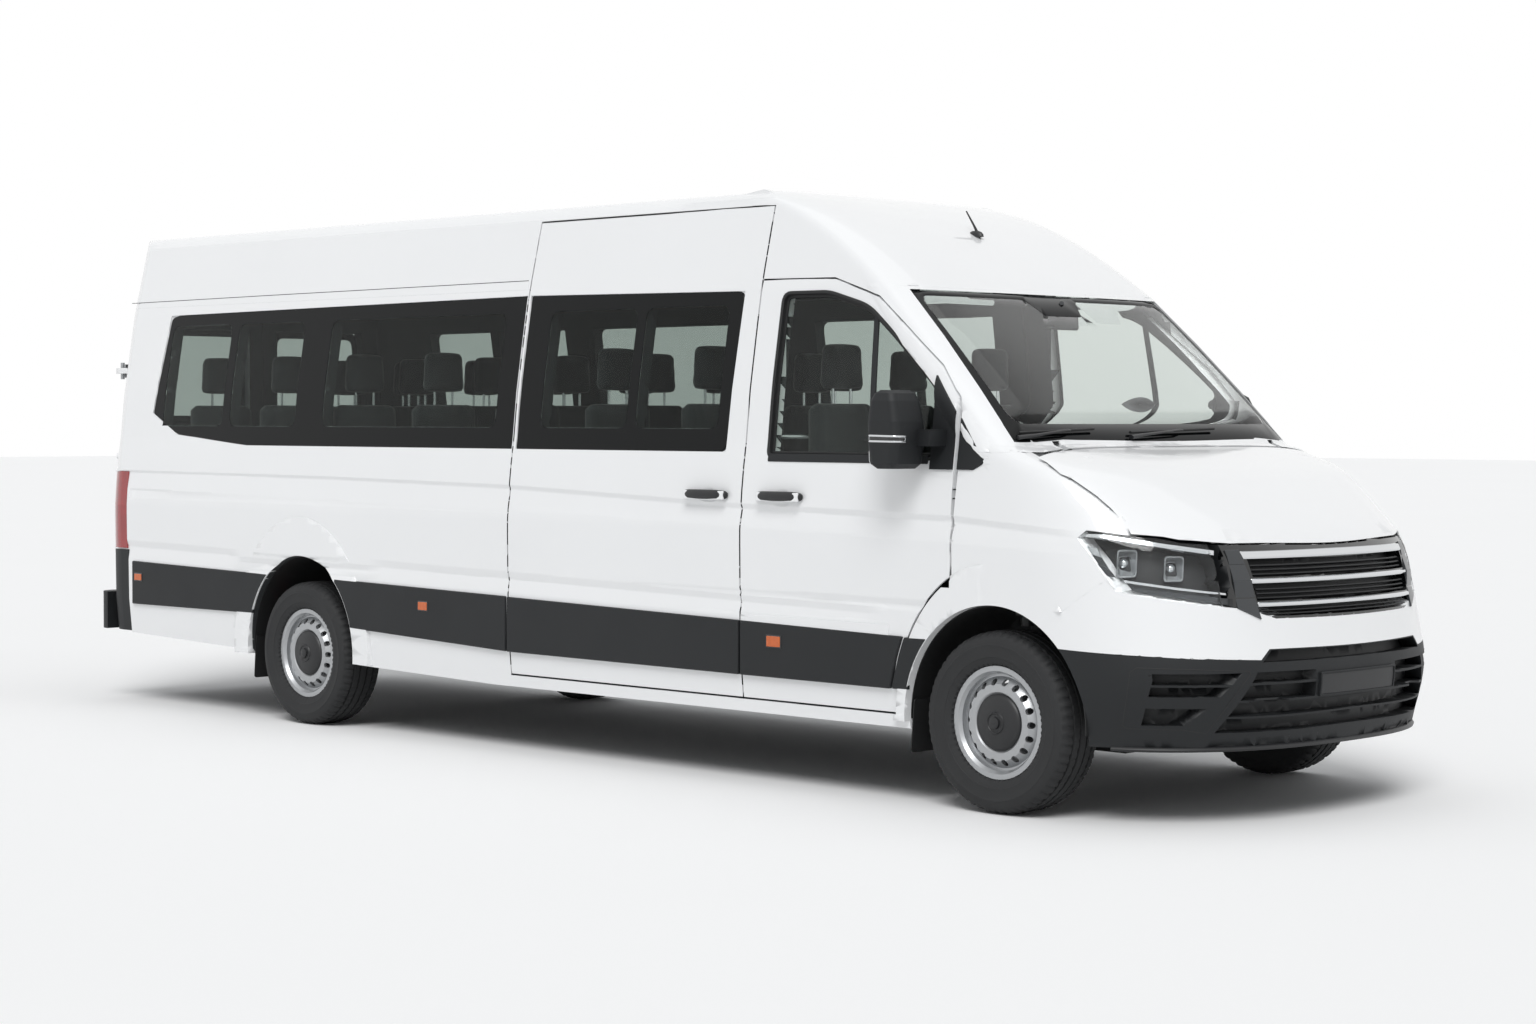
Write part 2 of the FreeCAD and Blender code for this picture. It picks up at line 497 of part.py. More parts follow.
# Roof, cab pillars with cowl, and the front wings.
roof = shell.common(side_prism(ROOF)).cut(slide_door_room).cut(rear_room).cut(screen_room)
keep("roof", roof)
cab = shell.common(side_prism(CAB)).cut(front_door_room).cut(screen_room).cut(bonnet_room.cut(cowl_reach))
cab = cab.cut(swing_clear).cut(mirrored(swing_clear))
bonnet_axis = Vector(ahead(size("bonnet_hinge_ahead")), size("bonnet_hinge_half"), size("bonnet_hinge_height"))
eye, pin = size("hinge_eye_radius"), size("hinge_pin_radius")
across, cheek = size("hinge_height"), 10
slot = Part.makeBox(bonnet_back - bonnet_axis.x + 40, across + 10, 66 + 2 * eye,
                    bonnet_axis + Vector(-20, -across / 2 - 5, -2 * eye))
cheeks = [Part.makeBox(3 * eye, cheek, 62, bonnet_axis + Vector(-2 * eye, place, -eye))
          for place in (-across / 2 - 5 - cheek, across / 2 + 5)]
arm_reach = 190
arm_room = Part.makeBox(arm_reach + GAP, across + 2 * GAP, 100, bonnet_axis + Vector(0, -across / 2 - GAP, -22))
bonnet_pin = Part.makeCylinder(pin, across + 10, bonnet_axis + Vector(0, -across / 2 - 5, 0), Vector(0, 1, 0))
cab = cab.cut(slot).cut(mirrored(slot))
cheek_set = [piece.common(body_block(SEAM)) for piece in cheeks] + [bonnet_pin]
cab = cab.fuse(cheek_set).fuse([mirrored(piece) for piece in cheek_set])
keep("cab_frame", cab)
front_flares = flare(AXLE_X, front_arch, front_flare, size("flare_half"), size("front_flare_rise"))
FRONT = [(-size("flare_half"), size("sill_height") - OVERRUN), (1100, size("sill_height") - OVERRUN),
         (1100, foot - SEAM), (door_front - 40, foot - SEAM), (-size("flare_half"), bottom)]
wings = shell.common(side_prism(FRONT)).cut(front_arch).fuse(front_flares).cut(front_door_room)
wings = wings.cut(bonnet_room).cut(nose_room).cut(swing_clear).cut(mirrored(swing_clear))
wings = wings.cut(arm_room).cut(mirrored(arm_room))
wings = wings.fuse(arms).fuse([mirrored(arm) for arm in arms])
keep("front_wings", wings)
keep("windscreen", glass_skin.common(front_prism(SCREEN_VIEW, -900, 300, -SEAM)))

# Nose: bonnet, grille, lamps, painted cover and bumper.
bonnet = shell.common(side_prism(BONNET)).cut(behind_bonnet)
bonnet_arm = Part.makeBox(arm_reach, across, 22, bonnet_axis + Vector(0, -across / 2, -14))
bonnet_arm = bonnet_arm.fuse(Part.makeCylinder(eye, across, bonnet_axis + Vector(0, -across / 2, 0), Vector(0, 1, 0)))
bonnet_arm = bonnet_arm.cut(Part.makeCylinder(pin + size("running_gap"), across,
                                              bonnet_axis + Vector(0, -across / 2, 0), Vector(0, 1, 0)))
keep("bonnet", bonnet.fuse([bonnet_arm, mirrored(bonnet_arm)]))
nose = shell.common(lamp_prism).cut(bonnet_room)
cover = shell.common(cover_prism).cut(side_prism(LAMPS, 0, SEAM))
nose_back, nose_front = overhang / 4, overhang + OVERRUN


def sunk(outline, depth):
    """The room of a recess whose floor follows the skin at a depth, from a front-view outline."""
    return front_prism(outline, nose_back, nose_front).cut(inner_blocks[depth])


def row(low_share, high_share, low_half, high_half, start=None):
    """A front-view row between two heights, as wide as two halves, or only its part beyond start."""
    low, high = BELT * low_share, BELT * high_share
    if start is None:
        return [(-low_half, low), (low_half, low), (high_half, high), (-high_half, high)]
    return [(start, low), (low_half, low), (high_half, high), (start, high)]


# Rows of openings as shares of the belt's height, and the two edges of the strut beside them as shares of the
# half width at their top and their slope.
slot_share, slot_low_share = (0.4316, 0.4660, 0.5343, 0.4814), 0.4330
grille_row_shares = ((0.6540, 0.7018), (0.5923, 0.6386), (0.5516, 0.5796))
intake_row_shares = ((0.3832, 0.4091), (0.3396, 0.3775), (0.2975, 0.3340), (0.2540, 0.2919))
pod_row_shares = ((0.3804, 0.4091), (0.3495, 0.3747), (0.2737, 0.3193))
strut_share, strut_inner_slope, strut_outer_slope, strut_wide_share = 0.5529, 0.596, 0.883, 0.052
slot_low, slot_high, slot_wide, slot_narrow = (BELT * slot_share[0], BELT * slot_share[1],
                                               HALF_WIDTH * slot_share[2], HALF_WIDTH * slot_share[3])
slot = [(-slot_wide, slot_low), (slot_wide, slot_low), (slot_narrow, slot_high), (-slot_narrow, slot_high)]
inner_blocks = {depth: body_block(depth) for depth in (size("grille_depth"), size("intake_depth"))}


def strut_edge(height_share, slope, beyond=0.0):
    """Distance from the centre line to one edge of the strut at a height."""
    return HALF_WIDTH * (strut_share + beyond) + slope * BELT * (intake_row_shares[0][1] - height_share)


def intake_rows():
    """Outlines of the upper slot, the middle rows beside and below the plate, and the rows of both pods."""
    edge, rim = size("slat"), size("plate_half") + size("slat")
    found = [[(-slot_wide + 2 * edge, BELT * slot_low_share), (slot_wide - 2 * edge, BELT * slot_low_share),
              (slot_narrow - edge, slot_high - edge / 2), (edge - slot_narrow, slot_high - edge / 2)]]
    for number, (low, high) in enumerate(intake_row_shares):
        low_half = strut_edge(low, strut_inner_slope) - edge
        high_half = strut_edge(high, strut_inner_slope) - edge
        if number < 2:
            side_row = row(low, high, low_half, high_half, rim)
            found += [side_row, [(-y, z) for y, z in side_row]]
        else:
            found.append(row(low, high, low_half, high_half))
    for low, high in pod_row_shares:
        inner_low = strut_edge(low, strut_outer_slope, strut_wide_share)
        inner_high = strut_edge(high, strut_outer_slope, strut_wide_share)
        pod = [(inner_low, BELT * low), (size("pod_half"), BELT * low), (size("pod_half"), BELT * high),
               (inner_high, BELT * high)]
        found += [pod, [(-y, z) for y, z in pod]]
    return found


grille_zone = Part.makeBox(LENGTH, 2 * size("grille_half"), HEIGHT, Vector(AXLE_X, -size("grille_half"), 0))
lamp_gap = Part.makeBox(LENGTH, 2 * (size("grille_half") + SEAM), HEIGHT,
                        Vector(AXLE_X, -size("grille_half") - SEAM, 0))
grille = nose.common(grille_zone)
for low, high in grille_row_shares:
    bar_half = size("bar_half")
    grille = grille.cut(sunk(row(low, high, bar_half - size("slat"), bar_half), size("grille_depth")))
keep("grille", grille)
keep("headlamps", nose.cut(lamp_gap))
keep("bumper_cover", cover.cut(front_arch).cut(front_prism(slot, nose_back, nose_front, SEAM)))
bumper = shell.common(bumper_prism).cut(side_prism(COVER, 0, SEAM)).cut(front_arch)
bumper = bumper.fuse(shell.common(front_prism(slot, nose_back, nose_front)))
for outline in intake_rows():
    bumper = bumper.cut(sunk(outline, size("intake_depth")))
keep("front_bumper", bumper)

# Rear bumper and doors.
beam_back = -LENGTH / 2
beam = Part.makeBox(REAR_X + 40 - beam_back, 2 * (HALF_WIDTH - 20), size("rear_bumper_top") - size("rear_bumper_bottom"),
                    Vector(beam_back, 20 - HALF_WIDTH, size("rear_bumper_bottom")))
corners = [edge for edge in beam.Edges if len(edge.Vertexes) == 2 and abs(edge.Vertexes[0].X - beam_back) < 1
           and abs(edge.Vertexes[1].X - beam_back) < 1 and abs(edge.Vertexes[0].Y - edge.Vertexes[1].Y) < 1]
beam = beam.makeFillet(110, corners)
rear_bumper = shell.common(rear_bumper_prism).cut(rear_room)
rear_bumper = rear_bumper.cut(Part.makeBox(LENGTH, LENGTH, size("rear_bumper_bottom"),
                                           Vector(-LENGTH / 2, -LENGTH / 2, 0))).fuse(beam)
keep("rear_bumper", rear_bumper)
rear_prism = front_prism(REAR_DOOR, rear_edge - OVERRUN, rear_edge + 2 * WALL)
rear_door = shell.common(rear_prism).cut(front_prism(REAR_GLASS, rear_edge - OVERRUN, rear_edge + 2 * WALL))
rear_pin_x, rear_pin_y = REAR_X - size("rear_hinge_behind"), size("rear_hinge_half")
lugs, brackets = [], []
for level in (size("rear_low_hinge"), size("rear_high_hinge")):
    tall, eye = size("hinge_height"), size("hinge_eye_radius")
    for low in (level - tall / 2 - 21, level + tall / 2 + 1):
        lug = Part.makeBox(size("rear_hinge_behind") - 6, 110, 20, Vector(rear_pin_x, rear_pin_y - 110, low))
        lug = lug.fuse(Part.makeBox(size("rear_hinge_behind") + 20, 45, 20, Vector(rear_pin_x, rear_pin_y - 110, low)))
        lugs.append(lug.fuse(Part.makeCylinder(12, 20, Vector(rear_pin_x, rear_pin_y, low))))
    lugs.append(Part.makeCylinder(size("hinge_pin_radius"), tall + 4, Vector(rear_pin_x, rear_pin_y, level - tall / 2 - 2)))
    bracket = Part.makeBox(size("rear_hinge_behind") + 90, 50, tall, Vector(rear_pin_x, rear_pin_y, level - tall / 2))
    bracket = bracket.fuse(Part.makeCylinder(12, tall, Vector(rear_pin_x, rear_pin_y, level - tall / 2)))
    brackets.append(bracket.cut(Part.makeCylinder(size("hinge_pin_radius") + size("running_gap"), tall,
                                                  Vector(rear_pin_x, rear_pin_y, level - tall / 2))))
rear_left = rear_door.fuse(lugs)
bracket_set = brackets[0].fuse(brackets[1])
side_left = side_left.fuse(bracket_set)
side_right = side_right.fuse(mirrored(bracket_set))
keep("side_panel_left", side_left)
keep("side_panel_right", side_right)
keep("rear_door_left", rear_left)
keep("rear_door_right", mirrored(rear_left))
rear_pane = inside_glass.common(front_prism(REAR_GLASS, rear_edge - OVERRUN, rear_edge + 2 * WALL, -SEAM))
keep("rear_glass_left", rear_pane)
keep("rear_glass_right", mirrored(rear_pane))


# Plain pieces, bound to the sheet: expressions for the two axle lines and the floor.
FRONT_AXLE = "(Sizes.length / 2 - Sizes.front_overhang)"
REAR_AXLE = f"({FRONT_AXLE} - Sizes.wheelbase)"
WHEEL_Z = "(Sizes.tyre_diameter / 2)"
PIVOT_Y = "(Sizes.half_track - Sizes.steer_pivot_inboard)"


def bind(piece, **places):
    """Ties a piece's properties to expressions; x, y and z give its place."""
    for name, expression in places.items():
        target = f"Placement.Base.{name}" if name in "xyz" else name
        piece.setExpression(target, str(expression))
    return piece


def block(name, start, extent):
    """A box from one corner, with its three sizes."""
    piece = doc.addObject("Part::Box", name)
    x, y, z = start
    length, width, height = extent
    return bind(piece, x=x, y=y, z=z, Length=length, Width=width, Height=height)


def post(name, centre, radius, height, direction="z"):
    """A cylinder that rises from a point, or runs along Y or X."""
    piece = doc.addObject("Part::Cylinder", name)
    turn = {"z": Rotation(), "y": Rotation(Vector(1, 0, 0), -90), "x": Rotation(Vector(0, 1, 0), 90)}
    piece.Placement = Placement(Vector(), turn[direction])
    x, y, z = centre
    return bind(piece, x=x, y=y, z=z, Radius=radius, Height=height)


def fused(name, pieces):
    """Several pieces made one."""
    joined = doc.addObject("Part::MultiFuse", name)
    joined.Shapes = pieces
    return joined


def both_sides(name, piece):
    """A piece and its mirror image, kept as one group."""
    other = doc.addObject("Part::Mirroring", f"{name}_other")
    other.Source = piece
    other.Normal = Vector(0, 1, 0)
    pair = doc.addObject("Part::Compound", name)
    pair.Links = [piece, other]
    return pair


def publish(piece, label):
    """Marks a document object as a finished sub-part."""
    piece.Label = label
    PARTS.append(piece)
    return piece


def sketch_outline(body, plane, points):
    """A closed outline in a body's origin plane, each corner tied to two expressions."""
    outline = body.newObject("Sketcher::SketchObject", f"{body.Name}_outline")
    support = [item for item in body.Origin.OriginFeatures if item.Role == plane][0]
    outline.AttachmentSupport = [(support, "")]
    outline.MapMode = "FlatFace"
    values = [tuple(float(sheet.evalExpression(part)) for part in point) for point in points]
    count = len(points)
    for index in range(count):
        start, end = values[index], values[(index + 1) % count]
        outline.addGeometry(Part.LineSegment(Vector(*start, 0), Vector(*end, 0)), False)
    for index in range(count):
        outline.addConstraint(Sketcher.Constraint("Coincident", index, 2, (index + 1) % count, 1))
    for index in range(count):
        for axis, value, expression in zip(("DistanceX", "DistanceY"), values[index], points[index]):
            number = outline.addConstraint(Sketcher.Constraint(axis, -1, 1, index, 1, value))
            outline.setExpression(f"Constraints[{number}]", expression)
    return outline


def turned(label, points, x, y, z, side):
    """A piece turned about the Y axis, its outline given as radius and distance outwards."""
    body = doc.addObject("PartDesign::Body", label)
    outline = sketch_outline(body, "XY_Plane", points)
    turn = body.newObject("PartDesign::Revolution", f"{label}_turn")
    turn.Profile = outline
    turn.ReferenceAxis = (outline, ["V_Axis"])
    turn.Angle = 360
    body.Placement = Placement(Vector(), Rotation(Vector(0, 0, 1), 0 if side > 0 else 180))
    bind(body, x=x, y=y, z=z)
    return publish(body, label)



# Wheels: a pressed steel rim with its hub and brake disc, and a tyre round it.
RADIUS, HALF_WIDE = "Sizes.tyre_diameter / 2", "Sizes.tyre_width / 2"
SEAT, FLANGE, HALF_RIM = "Sizes.rim_diameter / 2", "Sizes.rim_flange / 2", "Sizes.rim_width / 2"
BORE = "Sizes.spindle_radius + Sizes.running_gap"
FACE, THICK = "Sizes.disc_proud", "Sizes.disc_thickness"
RIM = [(BORE, "-Sizes.brake_inboard"), ("Sizes.brake_radius", "-Sizes.brake_inboard"),
       ("Sizes.brake_radius", "Sizes.brake_thickness - Sizes.brake_inboard"),
       ("Sizes.hub_radius", "Sizes.brake_thickness - Sizes.brake_inboard"),
       ("Sizes.hub_radius", f"{FACE} - {THICK}"), (f"{FLANGE} * 0.47", f"{FACE} - {THICK}"),
       (f"{FLANGE} * 0.55", f"{FACE}"), (f"{FLANGE} * 0.67", f"{FACE}"), (f"{FLANGE} * 0.78", f"{FACE} - 2 * {THICK}"),
       (f"{SEAT} - {THICK}", f"{FACE} - 2 * {THICK}"), (f"{SEAT} - {THICK}", f"{THICK} - {HALF_RIM}"),
       (f"{SEAT} - 3", f"-{HALF_RIM}"), (FLANGE, f"-{HALF_RIM}"), (FLANGE, f"8 - {HALF_RIM}"),
       (SEAT, f"{THICK} - {HALF_RIM}"), (SEAT, f"{HALF_RIM} - {THICK}"), (FLANGE, f"{HALF_RIM} - 8"),
       (FLANGE, HALF_RIM), (f"{SEAT} - 3", HALF_RIM), (f"{SEAT} - {THICK}", f"{HALF_RIM} - {THICK}"),
       (f"{SEAT} - {THICK}", f"{FACE} - {THICK}"), (f"{FLANGE} * 0.81", f"{FACE} - {THICK}"),
       (f"{FLANGE} * 0.68", f"{FACE} + {THICK}"), (f"{FLANGE} * 0.54", f"{FACE} + {THICK}"),
       (f"{FLANGE} * 0.46", FACE), (BORE, FACE)]
TYRE = [(f"{SEAT} + Sizes.seam", f"Sizes.seam + {THICK} - {HALF_RIM}"),
        (f"{FLANGE} + 2", f"-{HALF_RIM} + 9"), (f"{FLANGE} + 2", f"-{HALF_RIM} - 4"),
        (f"{FLANGE} + 40", f"-{HALF_WIDE}"), (f"{RADIUS} - 36", f"4 - {HALF_WIDE}"),
        (f"{RADIUS} - 8", f"26 - {HALF_WIDE}"), (RADIUS, f"46 - {HALF_WIDE}"), (RADIUS, f"{HALF_WIDE} - 46"),
        (f"{RADIUS} - 8", f"{HALF_WIDE} - 26"), (f"{RADIUS} - 36", f"{HALF_WIDE} - 4"),
        (f"{FLANGE} + 40", HALF_WIDE), (f"{FLANGE} + 2", f"{HALF_RIM} + 4"), (f"{FLANGE} + 2", f"{HALF_RIM} - 9"),
        (f"{SEAT} + Sizes.seam", f"{HALF_RIM} - {THICK} - Sizes.seam")]


def pierce(body):
    """A ring of round holes through the wheel's disc."""
    circle = body.newObject("Sketcher::SketchObject", f"{body.Name}_hole")
    support = [item for item in body.Origin.OriginFeatures if item.Role == "XZ_Plane"][0]
    circle.AttachmentSupport = [(support, "")]
    circle.MapMode = "FlatFace"
    circle.addGeometry(Part.Circle(Vector(size("hole_circle"), 0, 0), Vector(0, 0, 1), size("hole_radius")), False)
    circle.addConstraint(Sketcher.Constraint("PointOnObject", 0, 3, -1))
    for kind, value, expression in (("Radius", size("hole_radius"), "Sizes.hole_radius"),
                                    ("DistanceX", size("hole_circle"), "Sizes.hole_circle")):
        places = (kind, 0, value) if kind == "Radius" else (kind, -1, 1, 0, 3, value)
        number = circle.addConstraint(Sketcher.Constraint(*places))
        circle.setExpression(f"Constraints[{number}]", expression)
    hole = body.newObject("PartDesign::Pocket", f"{body.Name}_pocket")
    hole.Profile = circle
    hole.Type = "ThroughAll"
    ring = body.newObject("PartDesign::PolarPattern", f"{body.Name}_holes")
    ring.Originals = [hole]
    ring.Axis = (circle, ["N_Axis"])
    ring.Angle = 360
    ring.setExpression("Occurrences", "Sizes.hole_count")
    body.Tip = ring


for axle, axle_x in (("front", FRONT_AXLE), ("rear", REAR_AXLE)):
    for hand, side in (("left", 1), ("right", -1)):
        track = f"{side} * Sizes.half_track"
        pierce(turned(f"rim_{axle}_{hand}", RIM, axle_x, track, WHEEL_Z, side))
        turned(f"tyre_{axle}_{hand}", TYRE, axle_x, track, WHEEL_Z, side)

# Knuckles: spindle, upright on the lower pin, and a neck up to the upper pin above the tyre.
PIN, UP = "(Sizes.king_pin_radius + Sizes.running_gap)", "Sizes.upright_radius"
LOW, MID, TOP = "Sizes.low_pin_height", "Sizes.upright_top", "Sizes.high_pin_height"
EYE = "Sizes.pin_eye_height"


def knuckle(hand):
    """One steering knuckle, built for the left side."""
    spindle = post(f"spindle_{hand}", (FRONT_AXLE, f"{PIVOT_Y}", WHEEL_Z), "Sizes.spindle_radius",
                   f"Sizes.steer_pivot_inboard + {FACE} + {THICK}", "y")
    spindle.Placement.Rotation = Rotation(Vector(1, 0, 0), -90)
    upright = post(f"upright_{hand}", (FRONT_AXLE, PIVOT_Y, LOW), UP, f"{MID} - {LOW}")
    link = block(f"neck_foot_{hand}", (f"{FRONT_AXLE} - 22", f"{PIVOT_Y} - Sizes.neck_inboard - 40", f"{MID} - 40"),
                 ("44", "Sizes.neck_inboard + 40", "40"))
    neck = block(f"neck_{hand}", (f"{FRONT_AXLE} - 22", f"{PIVOT_Y} - Sizes.neck_inboard - 40", f"{MID} - 40"),
                 ("44", "40", f"{TOP} + {EYE} - {MID} + 40"))
    head = block(f"neck_head_{hand}", (f"{FRONT_AXLE} - 22", f"{PIVOT_Y} - Sizes.neck_inboard - 40", TOP),
                 ("44", "Sizes.neck_inboard + 40", EYE))
    eye = post(f"neck_eye_{hand}", (FRONT_AXLE, PIVOT_Y, TOP), UP, EYE)
    solid = fused(f"knuckle_{hand}_solid", [spindle, upright, link, neck, head, eye])
    low_bore = post(f"low_bore_{hand}", (FRONT_AXLE, PIVOT_Y, LOW), PIN, "Sizes.pin_depth + 1")
    high_bore = post(f"high_bore_{hand}", (FRONT_AXLE, PIVOT_Y, TOP), PIN, EYE)
    bored = doc.addObject("Part::Cut", f"knuckle_{hand}_bored")
    bored.Base = solid
    bored.Tool = fused(f"knuckle_{hand}_bores", [low_bore, high_bore])
    return bored


publish(knuckle("left"), "knuckle_left")
flipped = doc.addObject("Part::Mirroring", "knuckle_flip")
flipped.Source = knuckle("right")
flipped.Normal = Vector(0, 1, 0)
publish(flipped, "knuckle_right")

# Frame: two rails with cross members, the subframe with its arms and towers, and the rear axle.
RAIL_TOP = "(Sizes.floor_top - Sizes.floor_thickness)"
RAIL_Z, RAIL_Y = "Sizes.rail_bottom", "Sizes.rail_half - Sizes.rail_width / 2"
RAIL_DEEP = f"{RAIL_TOP} - {RAIL_Z}"
RAIL_START = "-Sizes.length / 2 + Sizes.rail_rear_short"
rail = block("rail", (RAIL_START, RAIL_Y, RAIL_Z),
             (f"{FRONT_AXLE} + Sizes.rail_ahead - ({RAIL_START})", "Sizes.rail_width", RAIL_DEEP))
rail_pair = both_sides("rails", rail)
crosses = []
for number in range(int(size("cross_count"))):
    share = number / (size("cross_count") - 1)
    start = f"{RAIL_START} + {share} * (Sizes.length / 2 + {FRONT_AXLE} - Sizes.rail_rear_short - 700)"
    crosses.append(block(f"cross_{number}", (start, f"-({RAIL_Y})", f"{RAIL_Z} + 20"),
                         ("60", f"2 * ({RAIL_Y})", f"{RAIL_DEEP} - 20")))
for place in (20, 400):
    crosses.append(block(f"engine_cross_{place}", (f"{FRONT_AXLE} + {place}", f"-({RAIL_Y})", f"{RAIL_Z} + 20"),
                         ("60", f"2 * ({RAIL_Y})", f"{RAIL_DEEP} - 20")))
publish(fused("frame_rails", [rail_pair] + crosses), "chassis_rails")
engine = block("engine", (f"{FRONT_AXLE} - 80", "-330", f"{RAIL_TOP} + Sizes.seam"), ("560", "660", "430"))
publish(engine, "engine_block")

ARM_Z, ARM_DEEP = "Sizes.low_pin_height - 50", "30"
arm = block("lower_arm", (f"{FRONT_AXLE} - 45", "Sizes.rail_half - 60", ARM_Z), ("90", f"{PIVOT_Y} - Sizes.rail_half + 80", ARM_DEEP))
arm_root = block("arm_root", (f"{FRONT_AXLE} - 220", "-450", ARM_Z), ("440", "900", ARM_DEEP))
arm_tie = block("arm_tie", (f"{FRONT_AXLE} - 60", "Sizes.rail_half - 30", ARM_Z), ("120", "60", f"{RAIL_Z} - ({ARM_Z}) - Sizes.seam"))
low_pin = post("low_pin", (FRONT_AXLE, PIVOT_Y, ARM_Z), "Sizes.king_pin_radius", "Sizes.pin_depth + 50")
tower = block("tower", (f"{FRONT_AXLE} - 60", "Sizes.rail_half + Sizes.rail_width / 2 + Sizes.seam", RAIL_Z),
              ("120", "60", f"{TOP} + {EYE} + 45 - {RAIL_Z}"))
tower_arm = block("tower_arm", (f"{FRONT_AXLE} - 35", "Sizes.rail_half + 60", f"{TOP} + {EYE} + 5"),
                  ("70", f"{PIVOT_Y} - Sizes.rail_half - 30", "40"))
high_pin = post("high_pin", (FRONT_AXLE, PIVOT_Y, TOP), "Sizes.king_pin_radius", f"{EYE} + 10")
sides = both_sides("suspension", fused("suspension_left", [arm, arm_tie, low_pin, tower, tower_arm, high_pin]))
publish(fused("subframe", [arm_root, sides]), "front_subframe")

beam_tube = post("beam_tube", (REAR_AXLE, "-Sizes.half_track + 60", WHEEL_Z), "42", "2 * Sizes.half_track - 120", "y")
shaft = post("rear_shaft", (REAR_AXLE, f"-Sizes.half_track - {FACE} - {THICK}", WHEEL_Z), "Sizes.spindle_radius",
             f"2 * (Sizes.half_track + {FACE} + {THICK})", "y")
leaf = block("leaf", (f"{REAR_AXLE} - 620", "Sizes.rail_half - 32", f"{WHEEL_Z} + 40"), ("1240", "64", "36"))
leaf_ends = [block(f"shackle_{n}", (f"{REAR_AXLE} + {place}", "Sizes.rail_half - 32", f"{WHEEL_Z} + 60"),
                   ("60", "64", f"{RAIL_Z} - {WHEEL_Z} - 60 - Sizes.seam")) for n, place in enumerate((-620, 560))]
leaf_pair = both_sides("leaf_pair", fused("leaf_left", [leaf] + leaf_ends))
publish(fused("rear_axle_group", [beam_tube, shaft, leaf_pair]), "rear_axle")

tank = block("tank", (f"{FRONT_AXLE} - 2600", "-380 + 60", "Sizes.rail_bottom - 190"), ("900", "620", "210 - Sizes.seam"))
publish(tank, "fuel_tank")
pipe = post("pipe", (f"{REAR_AXLE} - 1500", "500", "Sizes.rail_bottom - 60"), "30", "Sizes.wheelbase + 700", "x")
box = post("silencer", (f"{FRONT_AXLE} - 3200", "575", "Sizes.rail_bottom - 115"), "100", "700", "x")
hangers = [block(f"hanger_{n}", (f"{FRONT_AXLE} - {place}", "Sizes.rail_half + Sizes.rail_width / 2 + Sizes.seam", "Sizes.rail_bottom - 60"),
                 ("30", "60", "90")) for n, place in enumerate((900, 2200, 5600))]
publish(fused("exhaust_line", [pipe, box] + hangers), "exhaust")

# Floor with the bulkhead, wheel housings, dashboard and seats.
floor_low, floor_high = size("floor_top") - size("floor_thickness"), size("floor_top")
BULKHEAD = [(-452, floor_low), (-452, 1000), (-112, 1000), (-112, 1340), (-106, 1340), (-106, 994), (-446, 994),
            (-446, floor_low)]
cab_width = Part.makeBox(LENGTH, 2 * size("bulkhead_half"), HEIGHT, Vector(-LENGTH / 2, -size("bulkhead_half"), 0))
inside = body_block(WALL + SEAM)
cab_inside = body_block(WALL + GAP)
back_floor = side_prism([(rear_edge + WALL + 10, floor_low), (rear_edge + WALL + 10, floor_high),
                         (door_back - 12, floor_high), (door_back - 12, floor_low)]).common(inside)
cab_floor = side_prism([(door_back - 12, floor_low), (door_back - 12, floor_high), (-448, floor_high),
                        (-448, floor_low)]).fuse(side_prism(BULKHEAD).common(cab_width)).common(cab_inside)
wheel_room = arch_prism(REAR_AXLE_X, size("arch_half"), size("rear_arch_rise"))
middle = Part.makeBox(LENGTH, 2 * (size("liner_inner") - 4), HEIGHT, Vector(-LENGTH / 2, 4 - size("liner_inner"), 0))
floor_pan = back_floor.fuse(cab_floor).cut(wheel_room.cut(middle))
keep("floor_pan", floor_pan)
liners = []
for axle_x, rise in ((AXLE_X, size("front_arch_rise")), (REAR_AXLE_X, size("rear_arch_rise"))):
    ring = arch_prism(axle_x, size("arch_half"), rise, -SEAM).cut(
        arch_prism(axle_x, size("arch_half"), rise, -SEAM - size("liner_thickness")))
    width = HALF_WIDTH - 40 - size("liner_inner")
    ring = ring.common(Part.makeBox(3 * size("arch_half"), width, HEIGHT,
                                    Vector(axle_x - 1.5 * size("arch_half"), size("liner_inner"), size("sill_height") + 40)))
    if axle_x < 0:
        wall = arch_prism(axle_x, size("arch_half"), rise, -SEAM).common(
            Part.makeBox(3 * size("arch_half"), size("liner_thickness"), HEIGHT,
                         Vector(axle_x - 1.5 * size("arch_half"), size("liner_inner"), floor_low + 2)))
        ring = ring.fuse(wall)
    liners += [ring, mirrored(ring)]
keep("wheel_liners", Part.makeCompound(liners))
wheel_centre = Vector(ahead(-520), size("cab_seat"), 1440)
tilt = Rotation(Vector(0, 1, 0), -62)
dash_front = -112 - SEAM
DASH = [(dash_front, 1350), (-330, 1370), (-400, 1330), (-400, 1240), (-300, 1050), (dash_front, 1040)]
column_room = Part.makeCylinder(20 + size("running_gap"), 500, Vector(0, 0, -500))
column_room = column_room.transformed(Placement(wheel_centre, tilt).toMatrix(), True)
dash = side_prism(DASH).common(cab_inside).common(cab_width).cut(column_room)
keep("dashboard", dash)


